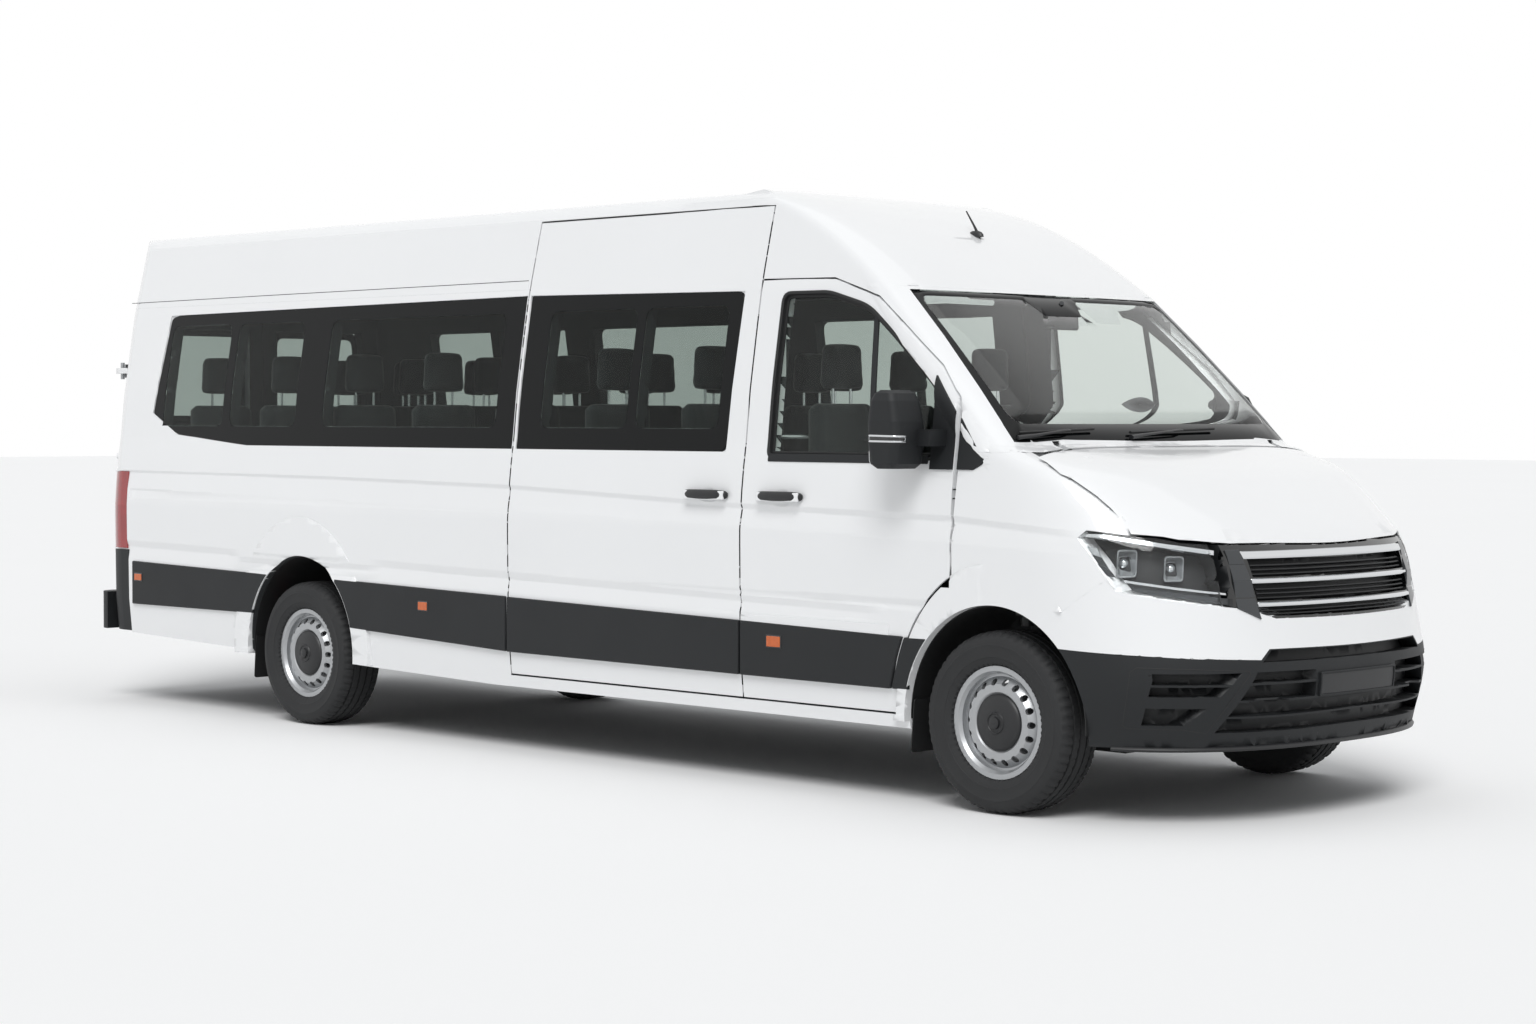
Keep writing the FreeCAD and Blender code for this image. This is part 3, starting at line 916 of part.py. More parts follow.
def seat(name, back, side_y, on_wall):
    """The cushion, back and frame of one seat; back is the headrest's distance behind the front axle."""
    wide, long, thick = "Sizes.seat_width", "Sizes.cushion_length", "Sizes.cushion_thickness"
    rear = f"{FRONT_AXLE} - {back}"
    low_y = f"{side_y} - Sizes.seat_width / 2"
    cushion = block(f"{name}_cushion", (f"{rear} + Sizes.back_thickness + Sizes.seam", low_y, "Sizes.cushion_top - Sizes.cushion_thickness"),
                    (long, wide, thick))
    back_pad = block(f"{name}_back", (rear, low_y, "Sizes.cushion_top - Sizes.cushion_thickness"),
                     ("Sizes.back_thickness", wide, "Sizes.back_top - Sizes.cushion_top + Sizes.cushion_thickness"))
    head = block(f"{name}_head", (f"{rear} + 5", f"{side_y} - Sizes.headrest_width / 2", "Sizes.back_top - 1"),
                 ("Sizes.back_thickness - 15", "Sizes.headrest_width", "Sizes.headrest_top - Sizes.back_top + 1"))
    frame = block(f"{name}_pan", (f"{rear} + 20", f"{low_y} + 4", "Sizes.cushion_top - Sizes.cushion_thickness - 30.3"),
                  (f"{long} + 60", f"{wide} - 8", "30"))
    inner_y = f"{side_y} - Sizes.seat_width / 2 + 4" if float(side_y) > 0 else f"{side_y} + Sizes.seat_width / 2 - 54"
    legs = [block(f"{name}_leg_{n}", (f"{rear} + {place}", inner_y, "Sizes.floor_top"),
                  ("40", "50", "Sizes.cushion_top - Sizes.cushion_thickness - 10 - Sizes.floor_top")) for n, place in enumerate((60, 400))]
    if on_wall:
        start = "Sizes.window_seat_half" if side_y > 0 else "-Sizes.width / 2 * 0.995 + Sizes.wall + Sizes.seam"
        legs.append(block(f"{name}_wall_arm", (f"{rear} + 120", start, "Sizes.cushion_top - Sizes.cushion_thickness - 30.3"),
                          ("300", "Sizes.width / 2 * 0.995 - Sizes.wall - Sizes.seam - Sizes.window_seat_half", "30")))
    else:
        outer_y = f"{side_y} + Sizes.seat_width / 2 - 54" if float(side_y) > 0 else f"{side_y} - Sizes.seat_width / 2 + 4"
        legs += [block(f"{name}_outer_leg_{n}", (f"{rear} + {place}", outer_y, "Sizes.floor_top"),
                       ("40", "50", "Sizes.cushion_top - Sizes.cushion_thickness - 10 - Sizes.floor_top"))
                 for n, place in enumerate((60, 400))]
    return cushion, fused(f"{name}_backrest", [back_pad, head]), fused(f"{name}_frame", [frame] + legs)


seats = [seat("cab_left", "Sizes.cab_seat_back", size("cab_seat"), False),
         seat("cab_right", "Sizes.cab_seat_back", -size("cab_seat"), False)]
for row_number in range(int(size("seat_rows"))):
    row_back = f"(Sizes.first_row_back + {row_number} * Sizes.row_pitch)"
    for place, side_y in enumerate((-size("window_seat_half"), size("aisle_seat"), size("window_seat_half"))):
        over_wheel = row_number in (4, 5) and place != 1
        seats.append(seat(f"row_{row_number}_{place}", row_back, side_y, over_wheel))
for label, index in (("seat_cushions", 0), ("seat_backs", 1), ("seat_frames", 2)):
    group = doc.addObject("Part::Compound", label)
    group.Links = [pieces[index] for pieces in seats]
    publish(group, label)

# Mirrors: a lofted housing on an arm, with a sail plate that lies on the door's front corner.
mirror_shares = ((0.00, 0.20, 0.20), (0.06, 0.06, 0.08), (0.35, 0.00, 0.00), (0.60, 0.00, 0.02), (0.86, 0.05, 0.12),
                 (0.96, 0.14, 0.20), (1.00, 0.26, 0.32))
sail_shares = ((-0.0742, 0.6667), (-0.0482, 0.6106), (-0.0482, 0.5216), (-0.0742, 0.5216))


def mirror_section(high_share, back_share, front_share):
    """One rounded level of the left mirror's housing."""
    back, front = size("mirror_back"), size("mirror_front")
    inside_y, outside_y = size("mirror_inside"), size("mirror_outside")
    deep, wide = back - front, outside_y - inside_y
    z = size("mirror_bottom") + (size("mirror_top") - size("mirror_bottom")) * high_share
    x_back, x_front = ahead(-back) + deep * back_share, ahead(-front) - deep * front_share
    y_in, y_out = inside_y + wide * front_share / 2, outside_y - wide * back_share / 2
    corners = [Vector(x_back, y_in, z), Vector(x_front, y_in, z), Vector(x_front, y_out, z), Vector(x_back, y_out, z)]
    radius = deep / 5
    return Part.makePolygon(corners + corners[:1]).makeOffset2D(-radius, 2).makeOffset2D(radius, 0)


housing = Part.makeLoft([mirror_section(*shares) for shares in mirror_shares], True, True)
arm_low, arm_high = size("mirror_arm_low"), size("mirror_arm_high")
arm_ahead = (size("mirror_back") - size("mirror_front")) / 2
arm = Part.makeBox(arm_ahead, HALF_WIDTH / 8, arm_high - arm_low,
                   Vector(ahead(-size("mirror_front")) - arm_ahead / 4, HALF_WIDTH * 0.94, arm_low))
sail = body_block(-size("sail_proud")).common(side_prism(traced(sail_shares, wheelbase, HEIGHT), 1))
mirror = housing.fuse([arm, sail]).cut(body_block(-SEAM))
keep("mirror_left", mirror)
keep("mirror_right", mirrored(mirror))
rim_ring = Part.makeTorus(190, 15)
spoke = Part.makeBox(360, 50, 16, Vector(-180, -25, -20))
hub_column = Part.makeCylinder(42, 60, Vector(0, 0, -60)).fuse(Part.makeCylinder(20, 150, Vector(0, 0, -180)))
steering = rim_ring.fuse([spoke, hub_column])
steering = steering.transformed(Placement(wheel_centre, tilt).toMatrix(), True)
keep("steering_wheel", steering)

doc.recompute()
os.makedirs("parts", exist_ok=True)
broken = [item.Label for item in doc.Objects if "Invalid" in item.State or "Error" in item.State]
if broken:
    raise RuntimeError(f"failed objects: {broken}")
for feature in PARTS:
    shape = feature.Shape
    ok = not shape.isNull() and shape.isValid()
    print(feature.Label, ok, len(shape.Solids), round(shape.Volume / 1e9, 4), [round(v) for v in (shape.BoundBox.XMin,
          shape.BoundBox.XMax, shape.BoundBox.YMin, shape.BoundBox.YMax, shape.BoundBox.ZMin, shape.BoundBox.ZMax)])
    shape.exportStep(f"parts/{feature.Label}.step")
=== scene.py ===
"""A white high-roof minibus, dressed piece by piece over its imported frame."""
# %% [markdown]
# The frame holds every solid of the vehicle at its real place, in metres: X forward, Y to the left, Z up.
# It is loaded first.

# %% Load the frame
import json
import math
import time
import bmesh
import bpy
import numpy as np
from mathutils import Matrix, Vector
from mathutils.bvhtree import BVHTree
from mathutils.geometry import delaunay_2d_cdt


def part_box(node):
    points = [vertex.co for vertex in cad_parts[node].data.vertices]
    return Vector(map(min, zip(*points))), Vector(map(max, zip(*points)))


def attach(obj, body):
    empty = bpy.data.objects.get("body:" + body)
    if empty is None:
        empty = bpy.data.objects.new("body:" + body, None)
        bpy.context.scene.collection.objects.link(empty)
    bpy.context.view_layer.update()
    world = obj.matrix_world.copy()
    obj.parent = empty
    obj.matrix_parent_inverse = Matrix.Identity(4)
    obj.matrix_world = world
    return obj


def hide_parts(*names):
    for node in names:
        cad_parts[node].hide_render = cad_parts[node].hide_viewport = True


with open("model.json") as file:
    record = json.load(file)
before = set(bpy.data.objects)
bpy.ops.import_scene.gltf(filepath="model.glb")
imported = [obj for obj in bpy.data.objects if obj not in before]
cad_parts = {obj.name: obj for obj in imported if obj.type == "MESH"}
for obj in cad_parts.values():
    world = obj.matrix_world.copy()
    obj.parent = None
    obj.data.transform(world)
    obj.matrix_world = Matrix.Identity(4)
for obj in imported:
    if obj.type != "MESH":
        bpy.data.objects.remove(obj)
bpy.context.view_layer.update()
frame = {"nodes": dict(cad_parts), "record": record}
nodes = frame["nodes"]
scene = bpy.context.scene

# %% [markdown]
# The camera stands low at the front right corner, some 14 metres away, with a long lens. That is how
# vehicles are photographed for a catalogue: the far lens keeps the proportions true.

# %% Camera
WIDE, FOCAL, SENSOR = 1536, 2793.2, 36.0  # picture and focal length in pixels, sensor in millimetres
YAW, PITCH, ROLL = math.radians(134.78), math.radians(1.88), math.radians(0.12)
forward = Vector((math.cos(PITCH) * math.cos(YAW), math.cos(PITCH) * math.sin(YAW), -math.sin(PITCH)))
right = Vector((math.sin(YAW), -math.cos(YAW), 0))
up = right.cross(forward)
right, up = right * math.cos(ROLL) + up * math.sin(ROLL), up * math.cos(ROLL) - right * math.sin(ROLL)
lens = bpy.data.cameras.new("camera")
lens.lens = FOCAL / WIDE * SENSOR
lens.sensor_width = SENSOR
lens.clip_end = 200
camera = bpy.data.objects.new("camera", lens)
camera.matrix_world = Matrix((right, up, -forward)).transposed().to_4x4()
camera.location = (9.6425, -9.228, 1.521)
scene.collection.objects.link(camera)
scene.camera = camera
print("lens", round(lens.lens, 2), "mm")

# %% [markdown]
# Colours are written as the hex values one reads on a screen, and one function turns them into the linear
# values that the shader needs. A second one adds any kind of node with its settings and links.


# %% Colour and node helpers
def linear(text):
    """sRGB hex text to linear RGBA."""
    values = [int(text[i:i + 2], 16) / 255 for i in (1, 3, 5)]
    return tuple(v / 12.92 if v <= 0.04045 else ((v + 0.055) / 1.055) ** 2.4 for v in values) + (1.0,)


def add(tree, kind, settings=None, **inputs):
    """Adds a node; an input is a value or another node's output socket."""
    node = tree.nodes.new(kind)
    for name, value in (settings or {}).items():
        setattr(node, name, value)
    for name, value in inputs.items():
        numbered = name[0] == "_" and name[1:].isdigit()
        socket = node.inputs[int(name[1:]) if numbered else name.replace("_", " ")]
        if isinstance(value, bpy.types.NodeSocket):
            tree.links.new(value, socket)
        else:
            socket.default_value = value
    return node


def material(name, colour, **settings):
    """A new Principled material with its constants on the shader's own sockets."""
    made = bpy.data.materials.new(name)
    made.use_nodes = True
    made.diffuse_color = linear(colour)
    shader = made.node_tree.nodes["Principled BSDF"]
    shader.inputs["Base Color"].default_value = linear(colour)
    for key, value in settings.items():
        shader.inputs[key.replace("_", " ")].default_value = value
    return made, made.node_tree, shader


def grain(tree, shader, size_mm, strength, depth_mm):
    """Fine moulded grain: noise in object space as bump."""
    place = add(tree, "ShaderNodeTexCoord")
    noise = add(tree, "ShaderNodeTexNoise", Vector=place.outputs["Object"], Scale=1000 / size_mm, Detail=3.0)
    bump = add(tree, "ShaderNodeBump", Height=noise.outputs["Fac"], Strength=strength,
               Distance=depth_mm / 1000)
    tree.links.new(bump.outputs["Normal"], shader.inputs["Normal"])


def vary(tree, shader, socket, low, high, size_mm):
    """Slow variation of one socket between two values."""
    place = add(tree, "ShaderNodeTexCoord")
    noise = add(tree, "ShaderNodeTexNoise", Vector=place.outputs["Object"], Scale=1000 / size_mm, Detail=4.0)
    if isinstance(low, tuple):
        ramp = add(tree, "ShaderNodeMix", {"data_type": "RGBA"}, _0=noise.outputs["Fac"], _6=low, _7=high)
        tree.links.new(ramp.outputs[2], shader.inputs[socket])
    else:
        ramp = add(tree, "ShaderNodeMapRange", Value=noise.outputs["Fac"], To_Min=low, To_Max=high)
        tree.links.new(ramp.outputs["Result"], shader.inputs[socket])


def new_finish(name, colour, grained=None, matt=None, tint=None, **settings):
    """A finish with perhaps a grain, a range of roughness and a range of colour, each with its size in mm."""
    made, tree, shader = material(name, colour, **settings)
    if grained:
        grain(tree, shader, *grained)
    if matt:
        vary(tree, shader, "Roughness", *matt)
    if tint:
        vary(tree, shader, "Base Color", linear(tint[0]), linear(tint[1]), tint[2])
    return made


def sheet_glass(name, dark, light, index):
    """Tinted glass; lamps shine straight through it, so that what lies behind is lit."""
    made, tree, shader = material(name, light, Roughness=0.0, IOR=index, Transmission_Weight=1.0)
    vary(tree, shader, "Base Color", linear(dark), linear(light), 800)
    path = add(tree, "ShaderNodeLightPath")
    through = add(tree, "ShaderNodeBsdfTransparent", Color=linear(light))
    both = add(tree, "ShaderNodeMixShader", _0=path.outputs["Is Shadow Ray"], _1=shader.outputs["BSDF"],
               _2=through.outputs["BSDF"])
    tree.links.new(both.outputs["Shader"], tree.nodes["Material Output"].inputs["Surface"])
    return made


# %% [markdown]
# A vehicle is made of a few finishes, and each is told by how it returns light. White paint is a soft
# colour under a sharp, weak reflection of clear lacquer. Moulded plastic has a fine grain and no clear
# reflection. Glass shows what lies behind. The grain and the slow changes could be pictures, but noise in
# object space needs no unwrapping and can be given in millimetres.

# %% Materials
LENS = {"IOR": 1.49, "Coat_Weight": 0.6}  # moulded acrylic, saturated and glossy
# soft white under a sharp reflection
paint = new_finish("solid_white_clearcoat_paint", "#E9EAEB", tint=("#E7E8E9", "#ECEDEE", 900), Roughness=0.42,
                   IOR=1.5, Coat_Weight=1.0, Coat_Roughness=0.04, Coat_IOR=1.5)
# the cab's dull dark mouldings, the fuzzy roof lining, the worn grey floor, cloth with a pale rim of fibres
trim = new_finish("moulded_interior_polypropylene", "#2E3032", (2.5, 0.25, 0.2), Roughness=0.7, IOR=1.49)
headlining = new_finish("needled_felt_headlining", "#55585A", (1.5, 0.4, 0.3), Roughness=0.95,
                        Sheen_Weight=0.3)
flooring = new_finish("ribbed_vinyl_floor_covering", "#3E4041", (3.0, 0.3, 0.2), Roughness=0.75)
fabric = new_finish("woven_polyester_seat_fabric", "#26282B", Roughness=0.95, Sheen_Weight=0.35)
# black plastic: a dull grey sheen, a fine satin, the depth of a lamp; and rubber that reads as a line
plastic = new_finish("grained_black_polypropylene", "#1B1D1F", (1.6, 0.3, 0.12), (0.48, 0.62, 300),
                     Roughness=0.55, IOR=1.49, Specular_IOR_Level=0.35)
plastic_smooth = new_finish("fine_grained_black_plastic", "#1A1B1D", (0.8, 0.2, 0.06), Roughness=0.42,
                            IOR=1.5)
bezel = new_finish("matt_black_lamp_housing", "#141618", (2.0, 0.15, 0.1), Roughness=0.55, IOR=1.5)
seal = new_finish("EPDM_sealing_rubber", "#101112", (2.0, 0.2, 0.1), Roughness=0.65, IOR=1.52)
# broad soft light on each facet, a mirror of the surroundings, deep black behind glass
satin = new_finish("satin_black_lamp_bezel", "#2B2E31", matt=(0.26, 0.36, 40), Roughness=0.30, IOR=1.5,
                   Coat_Weight=0.4)
gloss = new_finish("gloss_black_ABS", "#0B0C0D", matt=(0.1, 0.16, 200), Roughness=0.12, IOR=1.53,
                   Coat_Weight=0.5)
frit = new_finish("ceramic_frit_black_glass", "#0B0D0E", matt=(0.08, 0.14, 500), Roughness=0.10, IOR=1.52,
                  Specular_IOR_Level=0.16)
# dusty grey black
rubber = new_finish("carbon_black_tyre_rubber", "#1B1C1D", (1.0, 0.25, 0.15),
                    tint=("#17181A", "#222324", 120), Roughness=0.75, IOR=1.52)
# bright lines, a soft glint on each bend, the pale funnel round a lens, a true mirror
chrome = new_finish("bright_chrome_plating", "#D5D7D9", matt=(0.06, 0.12, 60), Roughness=0.08, Metallic=1.0)
steel = new_finish("silver_painted_pressed_steel", "#A9ABAD", matt=(0.32, 0.42, 60), Roughness=0.36,
                   Metallic=0.75, Coat_Weight=0.4, Coat_Roughness=0.1)
satin_light = new_finish("grey_metallised_lamp_bezel", "#9FA2A4", matt=(0.24, 0.34, 40), Roughness=0.28,
                         Metallic=0.6)
silvered = new_finish("silvered_mirror_glass", "#DADCDD", matt=(0.01, 0.03, 200), Roughness=0.02,
                      Metallic=1.0)
# the underside: sandy grey, dull metal, thick wavy black
cast = new_finish("cast_aluminium_alloy", "#5C5E60", (3.0, 0.3, 0.2), Roughness=0.55, Metallic=0.8)
alumin = new_finish("aluminised_exhaust_steel", "#6E6D6A", matt=(0.4, 0.65, 80), Roughness=0.5, Metallic=0.9)
chassis = new_finish("satin_black_chassis_paint", "#18191A", (6.0, 0.2, 0.2), Roughness=0.5, IOR=1.5)
# lamp lenses: deep red, orange, milky, and a red painted paler for the light that shines through it from
# behind, which is painted light
red = new_finish("red_acrylic_lamp_lens", "#8E0B10", tint=("#7E080C", "#A11218", 40), Roughness=0.08, **LENS)
amber = new_finish("amber_acrylic_lens", "#C4560A", tint=("#B44A06", "#D2640E", 15), Roughness=0.12, **LENS)
lamp_white = new_finish("ribbed_clear_lamp_lens", "#C9CBCB", tint=("#B9BBBB", "#DCDDDD", 12), Roughness=0.15,
                        **LENS)
# painted light: a red lens made paler to stand for light coming through it from behind
lens_with_painted_light = new_finish("red_lens_paled_by_painted_light", "#D79A98", tint=("#D08E8C", "#E2B0AE", 30), Roughness=0.12,
                       **LENS)
# glass that dims what lies behind, from the passengers' dark one to the clear cover of a lamp
privacy = sheet_glass("dark_tinted_privacy_glass", "#B4BCB8", "#BCC4C0", 1.2)
glass = sheet_glass("green_tinted_soda_lime_glass", "#D0D7D3", "#D6DDD9", 1.25)
clear_glass = sheet_glass("clear_laminated_glass", "#F3F6F4", "#F8FAF9", 1.3)
clear = sheet_glass("clear_polycarbonate", "#F4F6F7", "#FAFBFB", 1.3)
print("materials", len(bpy.data.materials))

# %% [markdown]
# The body is a smooth form, drawn by stacked plan curves: a rounded nose, flanks, and levels that follow
# the bonnet, the windscreen and the brow of the roof. The same numbers that made the solids give its exact
# surface here, so that copies of the painted panels can be refined and shaded as one continuous skin.

# %% The smooth body surface
# metres: whole length, half the width, and the heights of the roof, the belt line and the top of the screen
LENGTH, HALF, HIGH, BELT, HEADER = 7.391, 1.020, 2.550, 1.425, 2.072
NOSE = 0.996  # from the front axle to the front
AXLE = LENGTH / 2 - NOSE
REAR_AXLE = AXLE - 4.490
REAR = REAR_AXLE - 1.825
TYRE = 0.356  # radius
# depth of the rounded nose, foot of the screen, and how far back the screen and the brow above it reach
CORNER, SCREEN, TRAVEL, BROW = 0.796, AXLE + 0.120, 0.710, 1.360
# each row is a level: height, place of the nose, half width and corner as shares, and the corner's fullness
LOWER_SHARES = ((0.2105, 0.954, 0.966, 1.00, 2.55), (0.393, 1.000, 0.990, 1.00, 2.55),
                (0.505, 0.972, 0.992, 1.00, 2.55), (0.6316, 0.934, 0.994, 0.99, 2.55),
                (0.7018, 0.904, 0.995, 0.97, 2.55), (0.7439, 0.861, 0.995, 0.94, 2.60),
                (0.800, 0.765, 0.990, 0.88, 2.70), (0.8632, 0.6275, 0.983, 0.76, 3.00),
                (0.9263, 0.470, 0.9735, 0.62, 3.40), (1.000, 0.1205, 0.9588, 0.377, 4.00))
SCREEN_SHARES = ((0.00, 0.000, 0.9588, 0.377, 4.00), (0.35, 0.331, 0.9353, 0.352, 4.10),
                 (0.67, 0.651, 0.9039, 0.300, 4.30), (1.00, 1.000, 0.8706, 0.250, 4.50))
BROW_SHARES = ((0.000, 0.000, 0.8706, 0.250, 4.5), (0.207, 0.096, 0.8490, 0.26, 4.5),
               (0.406, 0.198, 0.8275, 0.275, 4.5), (0.577, 0.302, 0.8088, 0.29, 4.5),
               (0.7155, 0.404, 0.7930, 0.30, 4.5), (0.818, 0.507, 0.7814, 0.31, 4.5),
               (0.891, 0.610, 0.7735, 0.32, 4.5), (0.958, 0.757, 0.7657, 0.34, 4.5),
               (1.025, 1.000, 0.7588, 0.35, 4.5))
stacks = [np.array([(BELT * z, AXLE + NOSE * x, HALF * w, CORNER * c, n) for z, x, w, c, n in LOWER_SHARES]),
          np.array([(BELT + (HEADER - BELT) * z, SCREEN - TRAVEL * x, HALF * w, CORNER * c, n)
                    for z, x, w, c, n in SCREEN_SHARES]),
          np.array([(HEADER + (HIGH - HEADER) * z, SCREEN - TRAVEL - BROW * x, HALF * w, CORNER * c, n)
                    for z, x, w, c, n in BROW_SHARES])]


def slopes(stack):
    """Level slopes that keep a smooth curve from overshooting."""
    step = np.diff(stack[:, :1], axis=0)
    rise = np.diff(stack[:, 1:], axis=0) / step
    middle = np.where(rise[:-1] * rise[1:] > 0, 2 * rise[:-1] * rise[1:] / (rise[:-1] + rise[1:] + 1e-12), 0)
    return np.vstack([rise[:1], middle, rise[-1:]])


tangents = [slopes(stack) for stack in stacks]


def level(z):
    """Nose, half width, corner and fullness at heights z, smooth within each stack."""
    z = np.atleast_1d(np.asarray(z, float))
    out = np.empty((len(z), 4))
    for number, stack in enumerate(stacks):
        low = -9 if number == 0 else stack[0, 0]
        chosen = (z >= low) & (z < (stack[-1, 0] if number < 2 else 9))
        at = np.clip(z[chosen], stack[0, 0], stack[-1, 0])
        place = np.clip(np.searchsorted(stack[:, 0], at, "right") - 1, 0, len(stack) - 2)
        wide = stack[place + 1, 0] - stack[place, 0]
        t = ((at - stack[place, 0]) / wide)[:, None]
        wide = wide[:, None]
        out[chosen] = ((2 * t ** 3 - 3 * t ** 2 + 1) * stack[place, 1:] + (t ** 3 - 2 * t ** 2 + t) * wide
                       * tangents[number][place] + (3 * t ** 2 - 2 * t ** 3) * stack[place + 1, 1:]
                       + (t ** 3 - t ** 2) * wide * tangents[number][place + 1])
    return out


# %% [markdown]
# Pressed lines run along the sides: a crease below the windows and a ledge above the cladding. Each turns
# the sheet inward by a few millimetres over a short height, then lets it come out again slowly, so one
# strip looks darker and the next brighter. They are part of the surface here, and the panels get edges
# along them.

# %% Pressed lines
# distance along the vehicle, height of the line, height of its steep part, height where it ends, depth
CREASE = np.array([(-3.60, 1.248, 0.012, 1.150, 0.0065), (-1.55, 1.241, 0.014, 1.125, 0.0075),
                   (-0.20, 1.224, 0.018, 1.108, 0.0085), (1.33, 1.173, 0.022, 1.075, 0.0095),
                   (2.49, 1.152, 0.026, 1.048, 0.0110), (3.00, 1.115, 0.026, 1.024, 0.0090),
                   (3.12, 1.104, 0.026, 1.018, 0.0)])
LEDGE = np.array([(-3.60, 0.876, 0.036, 0.775, 0.0090), (-2.40, 0.858, 0.036, 0.755, 0.0090),
                  (-2.30, 0.856, 0.036, 0.752, 0.0), (-1.24, 0.846, 0.036, 0.745, 0.0),
                  (-1.12, 0.844, 0.036, 0.742, 0.0090), (-0.20, 0.828, 0.036, 0.730, 0.0090),
                  (1.33, 0.796, 0.034, 0.704, 0.0090), (2.02, 0.782, 0.034, 0.695, 0.0080),
                  (2.14, 0.780, 0.034, 0.694, 0.0)])


def relief(points):
    """How far the pressed lines take the side of the body inward."""
    total = np.zeros(len(points))
    for table in (CREASE, LEDGE):
        top, steep, low, deep = (np.interp(points[:, 0], table[:, 0], table[:, n]) for n in range(1, 5))
        below = top - points[:, 2]
        share = np.where(below < steep, below / steep, 1 + (below - steep) / (top - steep - low))
        total += deep * np.interp(share, [0, 1, 2], [0, 1, 0])
    return np.where((np.abs(points[:, 1]) > 0.6) & (points[:, 0] > REAR - 0.1), total, 0)


def depth(points):
    """A field that is 0 on the body's skin, negative inside, about in metres near the skin."""
    points = np.atleast_2d(points)
    nose, half, corner, full = level(points[:, 2]).T
    across = np.abs(points[:, 1]) / half
    along = np.clip((points[:, 0] - (nose - corner)) / corner, 0, None)
    ring = (across ** full + along ** full) ** (1 / full)
    return (ring - 1) * half + relief(points)


def skin_normals(points, step=0.0005):
    """Unit gradients of the depth field, and the true distance to the skin."""
    grads = np.stack([(depth(points + offset) - depth(points - offset)) / (2 * step)
                      for offset in np.eye(3) * step], axis=1)
    size = np.linalg.norm(grads, axis=1, keepdims=True) + 1e-9
    return grads / size, depth(points) / size[:, 0]


def side_y(x, z):
    """Half width of the skin at a distance along the vehicle and a height."""
    nose, half, corner, full = level(z).T
    along = np.clip((np.asarray(x) - (nose - corner)) / corner, 0, 1)
    return half * (1 - along ** full) ** (1 / full)


def front_x(y, z):
    """Place of the skin along X at a distance from the centre line and a height."""
    nose, half, corner, full = level(z).T
    across = np.clip(np.abs(np.asarray(y)) / half, 0, 1)
    return nose - corner + corner * (1 - across ** full) ** (1 / full)


print("half width at the belt", side_y(0, BELT), "nose at 0.6", front_x(0, 0.6))


# %% [markdown]
# A painted panel is a copy of its solid, cut into small cells. In the nose and the brow its outer points are
# drawn onto the smooth surface, and its normals follow that surface. Faces that look into the vehicle are
# trim, not paint. On the glazed panels the dark trim already begins 12 mm below the skin. In the window
# reveals that is interior trim. On the faces of the shut gaps, which are really white, it is painted shade. A
# subdivision modifier would round the edges of the openings too, which is why the cells are cut by planes.

# %% Panels
PRESSED = ("side_panel_left", "side_panel_right", "sliding_door", "front_wings", "door_left", "door_right")
# panels that take the dark trim from 12 mm below the skin: trim in their window reveals, painted shade on the
# white faces of their shut gaps
GLAZED_WITH_SHADED_GAPS = ("side_panel_left", "side_panel_right", "sliding_door")
# heights of the edges across a pressed line: 0 is its top, 1 the end of its steep part, 2 its own end
LINE_SHARES = (-0.15, 0.15, 0.85, 1.05, 1.4, 1.9, 2.1)
SHARP = math.radians(32)  # edges sharper than this stay edges
ACROSS = 0.08  # width of a cell across the vehicle
ON_SKIN, ALIGNED = 0.0016, 0.93  # how near and how parallel to the skin a corner takes the skin's normal
body_of = {n: b for b, group in frame["record"]["behaviour"]["bodies"].items() for n in group}


def mesh_object(name, mesh, body, finishes, slot_name):
    """A new piece that rides on a body."""
    piece = bpy.data.objects.new(name, mesh)
    scene.collection.objects.link(piece)
    for finish in finishes:
        mesh.materials.append(finish)
    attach(piece, body)
    return piece


def cut(bm, place, normal):
    """Cuts every face along a plane."""
    bmesh.ops.bisect_plane(bm, geom=bm.verts[:] + bm.edges[:] + bm.faces[:], dist=1e-6, plane_co=place,
                           plane_no=normal)


def slice_mesh(bm, axis, low, high, step):
    """Cuts every face along evenly spaced planes."""
    normal = Vector([float(i == axis) for i in range(3)])
    for number in range(1, int(round((high - low) / step))):
        cut(bm, normal * (low + number * step), normal)


def slice_lines(bm, table):
    """Edges along a pressed line: each plane cuts only the faces between two places of its table."""
    for first, second in zip(table, table[1:]):
        for share in LINE_SHARES:
            heights = []
            for _, top, steep, low, _ in (first, second):
                middle = top - steep
                heights.append(top - steep * share if share <= 1 else middle - (middle - low) * (share - 1))
            chosen = [face for face in bm.faces if first[0] < face.calc_center_median().x < second[0]]
            edges = {edge for face in chosen for edge in face.edges}
            verts = {vert for face in chosen for vert in face.verts}
            run = Vector((second[0] - first[0], 0, heights[1] - heights[0]))
            bmesh.ops.bisect_plane(bm, geom=list(verts) + list(edges) + chosen, dist=1e-6,
                                   plane_co=Vector((first[0], 0, heights[0])),
                                   plane_no=run.cross(Vector((0, 1, 0))))


def near_skin(points, distance, node, snap):
    """Which points of a panel are drawn onto the skin: those of the nose, the brow and the pressed lines."""
    x, y, z = points.T
    zone = (x > AXLE - 0.05) | ((z > HEADER + 0.005) & (x > SCREEN - TRAVEL - BROW))  # nose and brow
    if node in PRESSED:
        zone |= relief(points) > 1e-5
        zone &= np.abs(z - 0.6) > 0.12  # the cladding hides this strip
    outside = (z > 0.3) & (z < 2.5) & (np.abs(y) < 0.985 * side_y(x, z) + 0.05)  # neither underside nor crown
    return zone & (np.abs(distance) < snap) & outside


